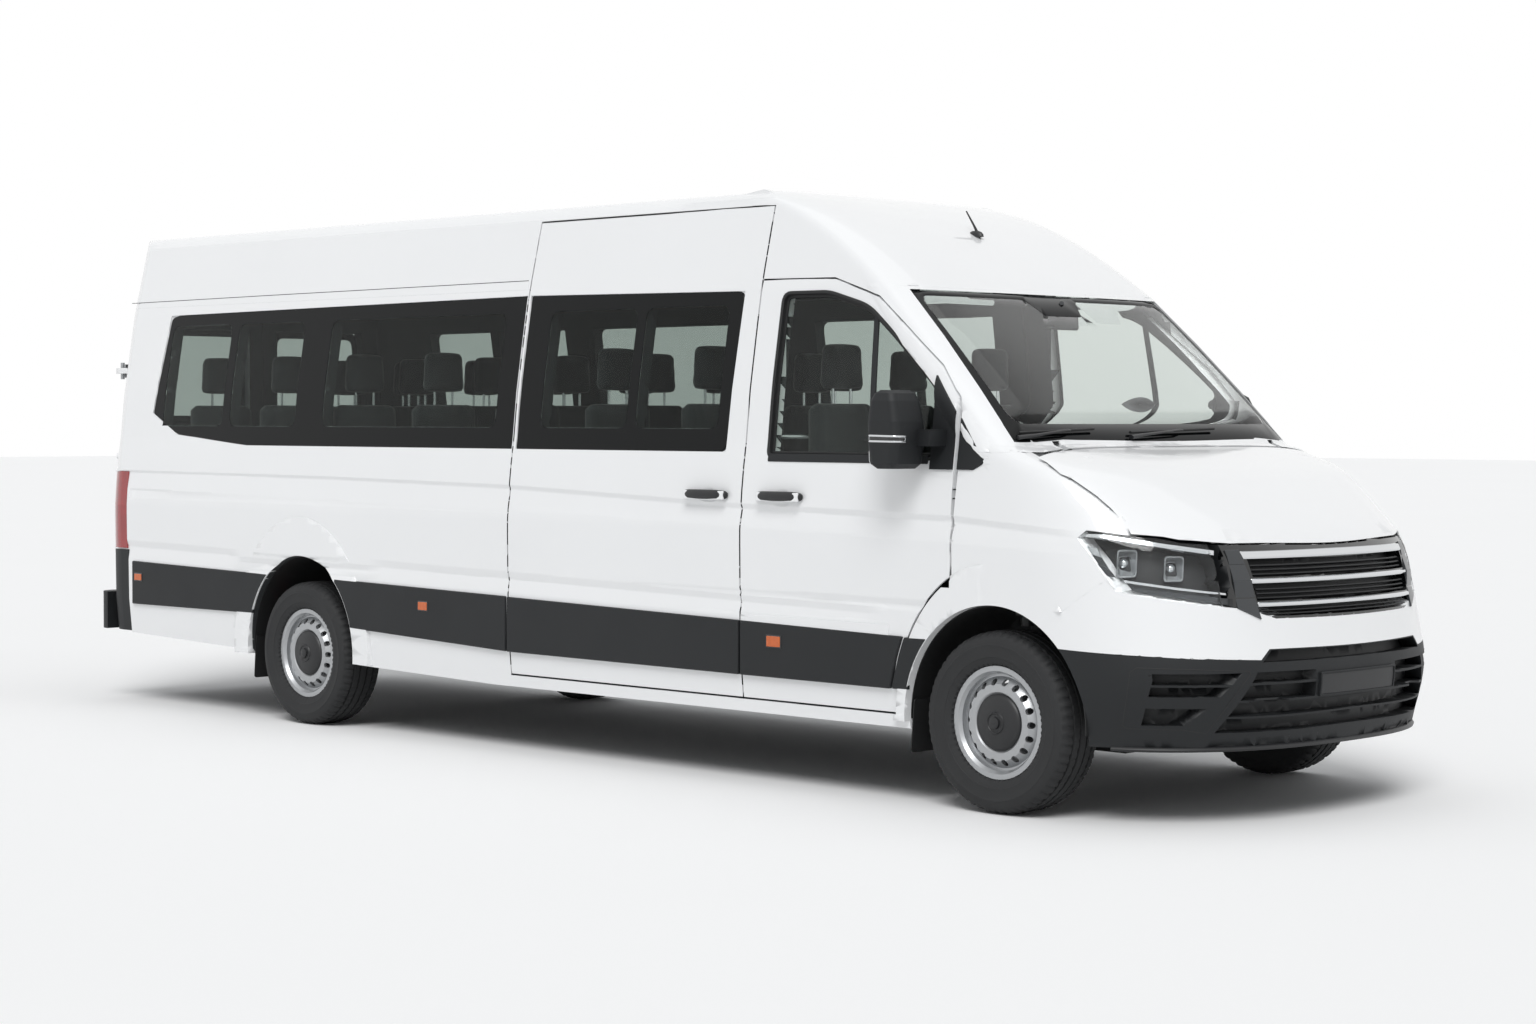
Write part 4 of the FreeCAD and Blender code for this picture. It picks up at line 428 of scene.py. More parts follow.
def refine(node, name, outside, inside, slot_name, x_step=0.12, z_step=0.05, snap=0.016, deep_from=-0.05):
    """The refined and smoothly shaded copy of a panel."""
    bm = bmesh.new()
    bm.from_mesh(nodes[node].data)
    bmesh.ops.remove_doubles(bm, verts=bm.verts[:], dist=1e-5)
    low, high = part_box(node)
    slice_mesh(bm, 0, low.x, high.x, x_step)
    slice_mesh(bm, 2, low.z, high.z, z_step)
    if high.x > AXLE - 0.1 or high.z > HEADER:  # nose and brow are rounded across too
        slice_mesh(bm, 1, low.y, high.y, ACROSS)
    if low.z < 1.0 and node in PRESSED:
        for table in (CREASE, LEDGE):
            for x in table[:, 0]:
                if low.x < x < high.x:
                    cut(bm, (x, 0, 0), (1, 0, 0))
            slice_lines(bm, table)
    mesh = bpy.data.meshes.new(name)
    bm.to_mesh(mesh)
    bm.free()
    points = np.array([v.co for v in mesh.vertices])
    normals, distance = skin_normals(points)
    near = near_skin(points, distance, node, snap)
    points[near] -= normals[near] * distance[near, None]
    mesh.vertices.foreach_set("co", points.ravel())
    mesh.update()
    mesh.shade_smooth()
    mesh.set_sharp_from_angle(angle=SHARP)
    base = np.array([n.vector for n in mesh.corner_normals])
    turned_faces = np.array([p.normal for p in mesh.polygons])
    faces = np.repeat(turned_faces, [p.loop_total for p in mesh.polygons], axis=0)
    corner_vertex = np.array([loop.vertex_index for loop in mesh.loops])
    normals, distance = skin_normals(points)
    fits = (np.abs(distance[corner_vertex]) < ON_SKIN) & ((normals[corner_vertex] * faces).sum(1) > ALIGNED)
    base[fits] = normals[corner_vertex][fits]
    mesh.normals_split_custom_set(base.tolist())
    centres = np.array([p.center for p in mesh.polygons])
    directions, deep = skin_normals(centres)
    outward = (turned_faces * directions).sum(1)
    roof_in = (centres[:, 2] > 2.2) & (turned_faces[:, 2] < -0.5)  # the ceiling looks down
    inward = (outward < 0.2) | (outside is not paint)
    inner = ((deep < deep_from) & inward & (centres[:, 2] < 2.4)) | roof_in
    mesh.polygons.foreach_set("material_index", np.where(inner, 1, 0).astype(np.int32))
    made = mesh_object(name, mesh, body_of[node], [outside, inside], slot_name)
    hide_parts(node)
    print(name, len(mesh.polygons))


# on the glazed panels the dark trim begins 12 mm below the skin, which also paints shade onto the white faces
# of the shut gaps
for node in ("roof", "side_panel_left", "side_panel_right", "sliding_door", "cab_frame", "front_wings",
             "bonnet", "door_left", "door_right", "rear_door_left", "rear_door_right"):
    refine(node, f"{node}_painted", paint, headlining if node == "roof" else trim, "white_paint",
           deep_from=-0.012 if node in GLAZED_WITH_SHADED_GAPS else -0.05)
for node, outside, slot_name, deep in (("bumper_cover", paint, "white_paint", -0.05),
                                       ("grille", gloss, "gloss_black", -0.02),
                                       ("front_bumper", plastic, "black_plastic", -0.02)):
    refine(node, f"{node}_dressed", outside, bezel, slot_name, x_step=0.06, z_step=0.04, snap=0.024,
           deep_from=deep)

# %% [markdown]
# Most trim on a vehicle is a flat outline that was moulded to the body: a window, a seal, a lamp, a strip.
# So the outlines are drawn flat, in metres across and up as seen level from one side, and then laid on the
# smooth skin. That keeps every piece exactly as curved as the panel that it sits in.


# %% Outlines
UP = np.array([0, 0, 1])
ROOM = 0.48  # how much of a side one rounded corner may take
WITHIN, BEYOND, HALVINGS = 0.3, 4.8, 32  # the skin is sought between two distances by halving


def level_axes(azimuth):
    """The direction of an azimuth, and the one to its left."""
    turn = math.radians(azimuth)
    return np.array([math.cos(turn), math.sin(turn), 0]), np.array([-math.sin(turn), math.cos(turn), 0])


def square(left, low, right, high):
    """The corners of an upright rectangle."""
    return [(left, low), (right, low), (right, high), (left, high)]


def rounded(corners, radius, steps=5):
    """A closed outline whose corners are curves."""
    corners = [np.array(corner, float) for corner in corners]
    radii = radius if isinstance(radius, (list, tuple)) else [radius] * len(corners)
    line = []
    for number, corner in enumerate(corners):
        before, after = corners[number - 1] - corner, corners[(number + 1) % len(corners)] - corner
        sides = np.linalg.norm(before), np.linalg.norm(after)
        before, after = before / sides[0], after / sides[1]
        half = math.acos(float(np.clip(before @ after, -1, 1))) / 2
        back = min(radii[number] / max(math.tan(half), 1e-3), ROOM * sides[0], ROOM * sides[1])
        for t in np.linspace(0, 1, steps + 1):
            line.append(corner + before * back * (1 - t) ** 2 + after * back * t ** 2)
    return np.array(line)


def divided(line, step, closed=True):
    """The same outline with long runs divided, so that it can bend with the body."""
    ends = np.roll(line, -1, axis=0) if closed else line[1:]
    made = []
    for start, end in zip(line, ends):
        parts = max(1, int(math.ceil(np.linalg.norm(end - start) / step)))
        made += [start + (end - start) * n / parts for n in range(parts)]
    return np.array(made if closed else made + [line[-1]])


def shifted(line, distance, closed=True):
    """The outline moved outward; a closed one is first turned anticlockwise."""
    line = turned(line) if closed else np.asarray(line, float)
    if closed:
        before, after = line - np.roll(line, 1, axis=0), np.roll(line, -1, axis=0) - line
    else:
        steps = np.diff(line, axis=0)
        before, after = np.vstack([steps[:1], steps]), np.vstack([steps, steps[-1:]])
    before = before / (np.linalg.norm(before, axis=1, keepdims=True) + 1e-12)
    after = after / (np.linalg.norm(after, axis=1, keepdims=True) + 1e-12)
    outward = np.stack([before[:, 1] + after[:, 1], -before[:, 0] - after[:, 0]], axis=1)
    outward /= np.maximum((outward ** 2).sum(1, keepdims=True) / 2, 0.5)
    return line + outward * distance


def turned(line):
    """The outline in anticlockwise order."""
    x, y = np.asarray(line, float).T
    return np.asarray(line, float)[::1 if (x * np.roll(y, -1) - np.roll(x, -1) * y).sum() > 0 else -1]


def holds(line, points):
    """Which points lie inside a closed outline."""
    inside = np.zeros(len(points), bool)
    for (x1, y1), (x2, y2) in zip(line, np.roll(line, -1, axis=0)):
        crosses = (y1 > points[:, 1]) != (y2 > points[:, 1])
        inside ^= crosses & (points[:, 0] < (x2 - x1) * (points[:, 1] - y1) / (y2 - y1 + 1e-15) + x1)
    return inside


def onto_skin(azimuth):
    """A placer: lays outline points on the body as seen level from an azimuth, so many metres proud."""
    out, across = level_axes(azimuth)

    def place(flat, proud=0.0):
        flat = np.atleast_2d(flat)
        start = flat[:, :1] * across + flat[:, 1:] * UP
        low, high = np.full(len(flat), WITHIN), np.full(len(flat), BEYOND)
        for _ in range(HALVINGS):
            middle = (low + high) / 2
            inside = depth(start + middle[:, None] * out) < 0
            low, high = np.where(inside, middle, low), np.where(inside, high, middle)
        points = start + low[:, None] * out
        return points + skin_normals(points)[0] * np.asarray(proud).reshape(-1, 1)

    return place


def seen(points, azimuth):
    """The flat outline of points on the body, as seen level from an azimuth."""
    points = np.asarray(points, float)
    return np.stack([points @ level_axes(azimuth)[1], points[:, 2]], axis=1)


def onto_plane(origin, across, upward, outward):
    """A placer for a flat face."""
    origin, across, upward, outward = (np.array(v, float) for v in (origin, across, upward, outward))

    def place(flat, proud=0.0):
        flat = np.atleast_2d(flat)
        lift = np.asarray(proud).reshape(-1, 1)
        return origin + flat[:, :1] * across + flat[:, 1:] * upward + lift * outward

    return place


def rearward(origin, lean=0.0, flip=1):
    """A placer for a flat face that looks back and perhaps leans; flip -1 draws it to the right."""
    return onto_plane(origin, (0, flip, 0), (lean, 0, 1), (-1, 0, lean))


def solid_tree(node):
    """A search tree that finds where a ray meets one solid."""
    mesh = nodes[node].data
    return BVHTree.FromPolygons([vert.co for vert in mesh.vertices],
                                [face.vertices for face in mesh.polygons])


def onto_solid(node, across, outward):
    """A placer: lays outline points on one solid as seen level from the side it faces."""
    tree = solid_tree(node)
    across, outward = np.array(across, float), np.array(outward, float)

    def place(flat, proud=0.0):
        flat = np.atleast_2d(flat)
        starts = flat[:, :1] * across + flat[:, 1:] * UP + outward * LENGTH
        hits = [tree.ray_cast(Vector(start), Vector(-outward))[3] or LENGTH for start in starts]
        return starts + outward * (np.asarray(proud).reshape(-1, 1) - np.array(hits)[:, None])

    return place


def tilted(proud, middle, slope):
    """How proud a facet is that leans about a level line through its middle."""
    return lambda flat: proud + (flat[:, 1] - middle) * slope


side, front = onto_skin(-90), onto_skin(0)
print("a point on the right side", side([[0, 1.2]]).round(3).tolist())


# %% [markdown]
# A plate is the area inside an outline, with a thickness and a small chamfer that catches the light. A band
# is a moulded section that runs along it. A tube and a turned shape do the same for round things. Each of
# these makers returns a shape, which is a pair: its points and its faces. A piece joins several shapes,
# each with its finish.


# %% Shape makers
def facing(points, faces, outward=None):
    """The shape with its faces turned out: away from its middle, or towards a given direction."""
    corners = [points[list(face)] for face in faces]
    areas = np.array([np.cross(c - c[0], np.roll(c, -1, 0) - c[0]).sum(0) for c in corners])
    middles = np.array([c.mean(0) for c in corners])
    away = middles - points.mean(0) if outward is None else outward
    return points, (faces if (areas * away).sum() > 0 else [face[::-1] for face in faces])


def right_handed(place, flat):
    """Whether across, up and outward of a placer turn the usual way."""
    spot, reach = np.atleast_2d(flat)[:1], 0.001
    start = place(spot, 0.0)[0]
    across, upward = place(spot + [[reach, 0]], 0.0)[0] - start, place(spot + [[0, reach]], 0.0)[0] - start
    return float(np.cross(across, upward) @ (place(spot, reach)[0] - start)) > 0


def plate(loops, place, proud, thick, step=0.06, edge=0.001):
    """A plate inside the first outline and outside the others; proud is a number or a function."""
    lift = proud if callable(proud) else (lambda flat: np.full(len(flat), float(proud)))
    loops = [divided(turned(line), step) for line in loops]
    inner = [shifted(line, -edge if number == 0 else edge) for number, line in enumerate(loops)]
    flat, sides, start = np.vstack(inner), [], 0
    for line in inner:
        sides += [(start + n, start + (n + 1) % len(line)) for n in range(len(line))]
        start += len(line)

    def within(spots):
        """Which spots lie inside the first outline and outside the others."""
        kept = holds(inner[0], spots)
        for line in inner[1:]:
            kept &= ~holds(line, spots)
        return kept

    low, high = inner[0].min(0), inner[0].max(0)
    columns, rows = (np.arange(low[i], high[i], step) for i in (0, 1))
    grid = np.array([(x, y) for x in columns for y in rows])
    gap = np.linalg.norm(grid[:, None] - flat[None], axis=2).min(1)
    flat = np.vstack([flat, grid[within(grid) & (gap > step * 0.5)]])
    points, _, faces = delaunay_2d_cdt([Vector(p) for p in flat], sides, [], 1, 1e-7)[:3]
    points = np.array([tuple(p) for p in points])
    centres = np.array([points[list(face)].mean(0) for face in faces])
    faces = [list(face) for face, kept in zip(faces, within(centres)) if kept]
    made, made_faces = [place(points, lift(points))], list(faces)
    count = len(points)
    for number, (line, rim) in enumerate(zip(loops, inner)):
        rings = [place(rim, lift(rim)), place(line, lift(line) - edge), place(line, lift(line) - thick)]
        ends = [count + n * len(line) for n in range(3)]
        for first, second in zip(ends, ends[1:]):
            for n in range(len(line)):
                m = (n + 1) % len(line)
                face = [first + n, second + n, second + m, first + m]
                made_faces.append(face if number == 0 else face[::-1])
        made += rings
        count += 3 * len(line)
    made.append(place(points, lift(points) - thick))
    made_faces += [[count + n for n in face[::-1]] for face in faces]
    if not right_handed(place, points):
        made_faces = [face[::-1] for face in made_faces]
    return np.vstack(made), made_faces


def band(line, place, section, closed=True, step=0.06):
    """A moulded strip: its section is a list of (outward, proud) places, run along an outline."""
    line = divided(turned(line) if closed else np.asarray(line, float), step, closed)
    rings = [place(shifted(line, outward, closed), proud) for outward, proud in section]
    points, faces = joined_rings(np.stack(rings, axis=1), closed, False)
    return points, faces if right_handed(place, line) else [face[::-1] for face in faces]


def joined_rings(rings, closed_along, closed_round, caps=False):
    """Faces between rows of points: rings[n] is the n-th section along the shape."""
    along, around = rings.shape[:2]
    faces = []
    for n in range(along if closed_along else along - 1):
        m = (n + 1) % along
        for i in range(around if closed_round else around - 1):
            j = (i + 1) % around
            faces.append([n * around + i, m * around + i, m * around + j, n * around + j])
    if caps:
        faces += [list(range(around))[::-1], [(along - 1) * around + i for i in range(around)]]
    return rings.reshape(-1, 3), faces


def tube(path, radius, sides=12, flat=1.0, upward=(0, 0, 1)):
    """A round or flattened rod along a path; radius may change along it."""
    path = np.asarray(path, float)
    radius = np.broadcast_to(np.asarray(radius, float), len(path))
    ahead = np.gradient(path, axis=0)
    ahead = ahead / (np.linalg.norm(ahead, axis=1, keepdims=True) + 1e-12)
    across = np.cross(ahead, np.array(upward, float))
    across /= np.linalg.norm(across, axis=1, keepdims=True) + 1e-12
    top = np.cross(across, ahead)
    turn = np.linspace(0, 2 * math.pi, sides, endpoint=False)
    rings = (path[:, None] + radius[:, None, None] * (np.cos(turn)[None, :, None] * across[:, None]
                                                     + flat * np.sin(turn)[None, :, None] * top[:, None]))
    return facing(*joined_rings(rings, False, True, caps=True))


def turned_shape(profile, centre, axis=1, segments=64, wave=None):
    """A turned shape: the profile is a list of (radius, along), spun round an axis through the centre."""
    profile = np.asarray(profile, float)
    turn = np.linspace(0, 2 * math.pi, segments, endpoint=False)
    radius = np.broadcast_to(profile[None, :, 0], (segments, len(profile))).copy()
    if wave is not None:
        radius += wave(turn[:, None], profile[None, :, 1])
    others = [i for i in range(3) if i != axis]
    rings = np.zeros((segments, len(profile), 3))
    rings[..., others[0]] = radius * np.cos(turn)[:, None]
    rings[..., others[1]] = radius * np.sin(turn)[:, None]
    rings[..., axis] = profile[None, :, 1]
    return facing(*joined_rings(rings + np.array(centre, float), True, False))


def smooth_path(points, per=8):
    """A curve through the given points."""
    points = np.asarray(points, float)
    full = np.vstack([2 * points[0] - points[1], points, 2 * points[-1] - points[-2]])
    line = []
    for a, b, c, d in zip(full, full[1:], full[2:], full[3:]):
        for t in np.linspace(0, 1, per, endpoint=False):
            line.append(0.5 * (2 * b + (c - a) * t + (2 * a - 5 * b + 4 * c - d) * t ** 2
                               + (3 * b - a - 3 * c + d) * t ** 3))
    return np.array(line + [points[-1]])


def on_left(shapes):
    """The mirror images of the shapes, with the same finishes."""
    return [((points * np.array([1, -1, 1]), [face[::-1] for face in faces]), finish)
            for (points, faces), finish in shapes]


def moved(shape, place):
    """The same shape further on."""
    return shape[0] + np.array(place, float), shape[1]


def piece(name, body, shapes, slot_name, angle=40, hides=()):
    """One object of several shapes, each with its finish."""
    points, faces, index, used = [], [], [], []
    count = 0
    for (some, some_faces), finish in shapes:
        if finish not in used:
            used.append(finish)
        points.append(some)
        faces += [[count + n for n in face] for face in some_faces]
        index += [used.index(finish)] * len(some_faces)
        count += len(some)
    mesh = bpy.data.meshes.new(name)
    mesh.from_pydata(np.vstack(points).tolist(), [], faces)
    mesh.polygons.foreach_set("material_index", np.array(index, np.int32))
    mesh.validate()
    bm = bmesh.new()
    bm.from_mesh(mesh)
    bmesh.ops.remove_doubles(bm, verts=bm.verts[:], dist=2e-5)
    bmesh.ops.dissolve_degenerate(bm, edges=bm.edges[:], dist=1e-6)
    bm.to_mesh(mesh)
    bm.free()
    mesh.validate()
    mesh.shade_smooth()
    mesh.set_sharp_from_angle(angle=math.radians(angle))
    item = mesh_object(name, mesh, body, used, slot_name)
    if hides:
        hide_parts(*hides)
    return item


def both_sides(name, bodies, shapes, slot_name, angle=40, hides=()):
    """A right piece and its mirror image on the left, each on its own body."""
    pair = []
    for end, body, chosen in zip(("right", "left"), bodies, (shapes, on_left(shapes))):
        hidden = [node.replace("right", end) for node in hides]
        pair.append(piece(f"{name}_{end}", body, chosen, slot_name, angle, hidden))
    return pair


# the bodies that a right and a left piece ride on
BODY, DOORS = ("body", "body"), ("front_door_right", "front_door_left")

# %% [markdown]
# The side glass is one dark sheet a row. On the real vehicle a black ceramic border is fired onto the
# glass, so the panes read as lighter rounded windows in a black band. The border is one plate with holes,
# and each pane is a see-through plate in the same plane. A rubber ledge lies behind, so that the gap round
# the sheet is dark.


# %% Side windows
def from_axle(pairs):
    """Outline points given in millimetres ahead of the front axle and above the ground."""
    return np.array([(AXLE + x / 1000, z / 1000) for x, z in pairs])


def glued(outline, holes, place, proud, drop, steps, glazing, ledge):
    """A black-bordered sheet: the border with its holes, a pane in each of them, and the rubber behind."""
    border = (plate([outline] + holes, place, proud, 0.005, step=steps[0]), frit)
    panes = [(plate([shifted(hole, 0.001)], place, proud - drop, 0.004, step=steps[1]), glazing)
             for hole in holes]
    return [border] + panes + [(band(outline, place, ledge), seal)]


# corners, their radii, and the two ends of each pane
sheets = ((((-2868, 1388), (-1491, 1388), (-1469, 2068), (-2868, 2090)), (0.01, 0.05, 0.05, 0.01),
           ((-2712, -2134), (-2075, -1557))),
          (((-5000, 1388), (-2892, 1388), (-2892, 2090), (-5740, 2073), (-5809, 2058), (-5876, 1553),
            (-5850, 1500), (-5633, 1440)), (0.3, 0.01, 0.01, 0.06, 0.03, 0.03, 0.05, 0.5),
           ((-4372, -3030), (-5170, -4600), (-5780, -5236))))
shapes = []
for corners, radii, panes in sheets:
    outline = shifted(rounded(from_axle(corners), radii), -0.004)
    holes = [rounded(from_axle(square(low, 1486, high, 2012)), 0.05) for low, high in panes]
    shapes += glued(outline, holes, side, -0.0045, 0.0005, (0.09, 0.08), privacy,
                    [(0.007, -0.012), (0.003, -0.0085), (-0.012, -0.0085), (-0.012, -0.0095)])
sheet_windows = piece("side_windows_glazed", "body", shapes + on_left(shapes), "window_glass",
                      hides=("side_windows",))
print(sheet_windows.name, len(sheet_windows.data.polygons))

# %% [markdown]
# The cab door glass sits deep in the door. A black rubber runs round the opening, a thinner channel follows
# inside it, an upright bar divides off the front corner, and two wiper strips lie along the sill.

# %% Door glass
opening = from_axle([(-1236, 1372), (-330, 1372), (-330, 1650), (-400, 1712), (-590, 1868), (-745, 1985),
                     (-976, 2048), (-1236, 2050)])
outline = turned(rounded(opening, (0.028, 0.02, 0.2, 0.2, 0.3, 0.3, 0.3, 0.04)))
lip = [(0.009, 0.0002), (0.009, 0.0022), (0.007, 0.0032), (-0.001, 0.0030), (-0.004, 0.0005),
       (-0.005, -0.014), (-0.016, -0.014), (-0.018, -0.017), (-0.018, -0.021)]
divider = [(1.968, 2.030), (1.994, 2.022), (2.024, 1.66), (2.040, 1.374), (2.014, 1.374), (1.996, 1.66)]
sill, sill_inner = square(1.465, 1.350, 2.352, 1.384), square(1.470, 1.386, 2.350, 1.396)
shapes = [(plate([shifted(outline, -0.004)], side, -0.0205, 0.004, step=0.08), glass),
          (band(outline, side, lip, step=0.05), seal),
          (plate([divider], side, -0.015, 0.008, step=0.15), plastic),
          (plate([rounded(sill, 0.006)], side, 0.0042, 0.018, step=0.15, edge=0.002), plastic),
          (plate([rounded(sill_inner, 0.003)], side, -0.012, 0.012, step=0.15, edge=0.002), seal)]
doors = both_sides("door_glass_framed", DOORS, shapes, "window_glass", hides=("door_glass_right",))
print([item.name for item in doors])

# %% [markdown]
# The windscreen is bonded in, so it has the same black border, wider along the foot, and a dark patch at
# the top for the sensor behind the mirror.

# %% Windscreen
low_y, high_y = 0.905, 0.815
corners = [(-low_y, 1.440), (low_y, 1.440), (high_y, 2.052), (-high_y, 2.052)]
outline = shifted(rounded(corners, (0.03, 0.03, 0.05, 0.05)), -0.003)
inner = [(-low_y + 0.055, 1.512), (low_y - 0.055, 1.512), (high_y - 0.028, 2.030), (0.17, 2.030),
         (0.12, 1.962), (-0.12, 1.962), (-0.17, 2.030), (-high_y + 0.028, 2.030)]
window = rounded(inner, (0.05, 0.05, 0.05, 0.03, 0.03, 0.03, 0.03, 0.05))
shapes = glued(outline, [window], front, -0.003, 0.0004, (0.08, 0.08), clear_glass,
               [(0.006, -0.010), (0.0025, -0.007), (-0.010, -0.007), (-0.012, -0.0085)])
screen = piece("windscreen_glazed", "body", shapes, "window_glass", hides=("windscreen",))
print(screen.name, len(screen.data.polygons))

# %% [markdown]
# The rear doors have flat glass that sits some two centimetres deep. Its rubber covers the step: it runs
# from the outer face of the door in to the glass.

# %% Rear door glass
for end, flip in (("right", -1), ("left", 1)):
    face = rearward((-3.5895, 0, 0), flip=flip)
    outline = rounded([(0.090, 1.500), (0.735, 1.500), (0.690, 2.020), (0.090, 2.020)], 0.045)
    outline = shifted(outline, -0.003)
    window = rounded([(0.128, 1.540), (0.690, 1.540), (0.650, 1.982), (0.128, 1.982)], 0.045)
    shapes = glued(outline, [window], face, 0.004, 0.0005, (0.2, 0.2), privacy,
                   [(0.012, 0.0262), (0.010, 0.0285), (-0.003, 0.0285), (-0.006, 0.010), (-0.014, 0.0045)])
    pane = piece(f"rear_glass_framed_{end}", f"back_door_{end}", shapes, "window_glass",
                 hides=(f"rear_glass_{end}",))
    print(pane.name)

# %% [markdown]
# A headlamp is a dark bowl behind a clear cover. The cover is the front face of the lamp's own solid,
# copied and laid on the skin, so it fills the opening exactly. Inside come two projector units, each a
# bright funnel round a dome lens, a bright strip along the top, a thin one below, and three steps at the
# outer end that turn the light.


# %% Headlamps
LAMP = -52  # the azimuth from which the lamp's outlines are drawn
UNITS = -36  # the azimuth that the projector units face
lamp_view = onto_skin(LAMP)


def skin_sheet(node, proud, thick, front_face=True, step=0.05):
    """The faces of a solid that lie on the body, moved inward, with their rim and perhaps their front."""
    bm = bmesh.new()
    bm.from_mesh(nodes[node].data)
    bmesh.ops.remove_doubles(bm, verts=bm.verts[:], dist=1e-5)
    low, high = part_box(node)
    for axis in range(3):
        slice_mesh(bm, axis, low[axis], high[axis], step)
    bm.normal_update()
    centres = np.array([face.calc_center_median() for face in bm.faces])
    directions = np.array([face.normal for face in bm.faces])
    normals, distance = skin_normals(centres)
    keep = (np.abs(distance) < 0.012) & ((directions * normals).sum(1) > 0.8)
    bmesh.ops.delete(bm, geom=[face for face, kept in zip(bm.faces[:], keep) if not kept], context="FACES")
    bm.verts.index_update()
    points = np.array([vert.co for vert in bm.verts])
    normals, distance = skin_normals(points)
    points = points - normals * distance[:, None]
    faces = [[vert.index for vert in face.verts] for face in bm.faces]
    rims = [(edge.link_loops[0].vert.index, edge.link_loops[0].link_loop_next.vert.index)
            for edge in bm.edges if edge.is_boundary]
    bm.free()
    count = len(points)
    made = (faces if front_face else []) + [[n + count for n in face[::-1]] for face in faces]
    made += [[b, a, a + count, b + count] for a, b in rims]
    return np.vstack([points + normals * proud, points + normals * (proud - thick)]), made


def projector(centre, azimuth, wide, high, deep):
    """A bright four-sided funnel with a raised frame and a dome lens at its end."""
    out, across = level_axes(azimuth)
    face = onto_plane(centre, across, UP, out)
    rings = []
    # outline scale and how far out: outer edge, frame, and the funnel down to the lens
    for scale, lift in ((1.00, -deep * 0.2), (1.06, 0.0), (1.00, 0.004), (0.93, 0.003), (0.90, -0.006),
                        (0.62, -deep * 0.75), (0.50, -deep), (0.46, -deep)):
        half_wide, half_high = wide / 2 * scale, high / 2 * scale
        corners = [(-half_wide, -half_high), (half_wide, -half_high), (half_wide * 1.08, half_high),
                   (-half_wide * 0.92, half_high)]
        rings.append(face(rounded(corners, 0.2 * wide * scale), lift))
    funnel = facing(*joined_rings(np.stack(rings, axis=0), False, True), out)
    ring = np.linspace(0, 2 * math.pi, 24, endpoint=False)
    circle = np.stack([np.cos(ring), np.sin(ring)], axis=1)
    radius = 0.26 * wide
    rings = [face((0.0001 + radius * math.sin(a)) * circle, radius * math.cos(a) - deep)
             for a in np.linspace(0, math.pi / 2, 9)]
    return funnel, facing(*joined_rings(np.stack(rings, axis=0), False, True), out)


# corners on the body, how proud, how thick, chamfer, finish: top strip, thin strip, panel under the units
strips = ((((3.112, -0.966, 1.090), (3.122, -0.958, 1.102), (3.166, -0.938, 1.102), (3.474, -0.636, 1.042),
            (3.482, -0.648, 1.024), (3.178, -0.939, 1.084)), -0.007, 0.016, 0.002, chrome),
          (((3.267, -0.923, 0.929), (3.428, -0.791, 0.903), (3.531, -0.635, 0.882), (3.532, -0.634, 0.874),
            (3.428, -0.791, 0.894), (3.270, -0.922, 0.920)), -0.012, 0.012, 0.001, chrome),
          (((3.290, -0.915, 0.906), (3.440, -0.780, 0.884), (3.540, -0.625, 0.862), (3.548, -0.622, 0.836),
            (3.455, -0.768, 0.858), (3.300, -0.905, 0.886)), -0.020, 0.012, 0.002, satin))
# corners on the body, slope, finish
outer_steps = ((((3.128, -.971, 1.057), (3.165, -.958, 1.048), (3.184, -.954, 1.012), (3.150, -.968, 1.022)),
                -0.16, satin_light),
               (((3.150, -.968, 1.022), (3.184, -.954, 1.012), (3.210, -.948, .973), (3.172, -.963, .988)),
                0.10, satin),
               (((3.172, -.963, .988), (3.210, -.948, .973), (3.238, -.938, .938), (3.208, -.952, .942)),
                0.22, satin))
shapes = [(plate([seen(corners, LAMP)], lamp_view, proud, thick, step=0.03, edge=edge), kind)
          for corners, proud, thick, edge, kind in strips]
for corners, slope, kind in outer_steps:
    base = seen(corners, LAMP)
    lift = tilted(-0.012, base.mean(0)[1], slope)
    shapes.append((plate([base], lamp_view, lift, 0.012, step=0.03, edge=0.0015), kind))
for centre, wide, high in (((3.238, -0.868, 0.987), 0.074, 0.100), ((3.368, -0.752, 0.968), 0.072, 0.092)):
    funnel, dome = projector(centre, UNITS, wide, high, 0.040)
    shapes += [(funnel, satin_light), (dome, silvered)]
bowl = skin_sheet("headlamps", -0.006, 0.085, front_face=False)
cover = skin_sheet("headlamps", -0.001, 0.0025)
shapes = [(bowl, bezel), (cover, clear)] + shapes + on_left(shapes)
lamps = piece("headlamps_dressed", "body", shapes, "lamp_lens", angle=30, hides=("headlamps",))
print(lamps.name, len(lamps.data.polygons))

# %% [markdown]
# Three bright bars lie across the grille, one wider along the top, thin blades fill the dark rows, and four
# turned facets close each end, so that the black plastic there breaks up the light. All of them are plates
# laid on the nose.

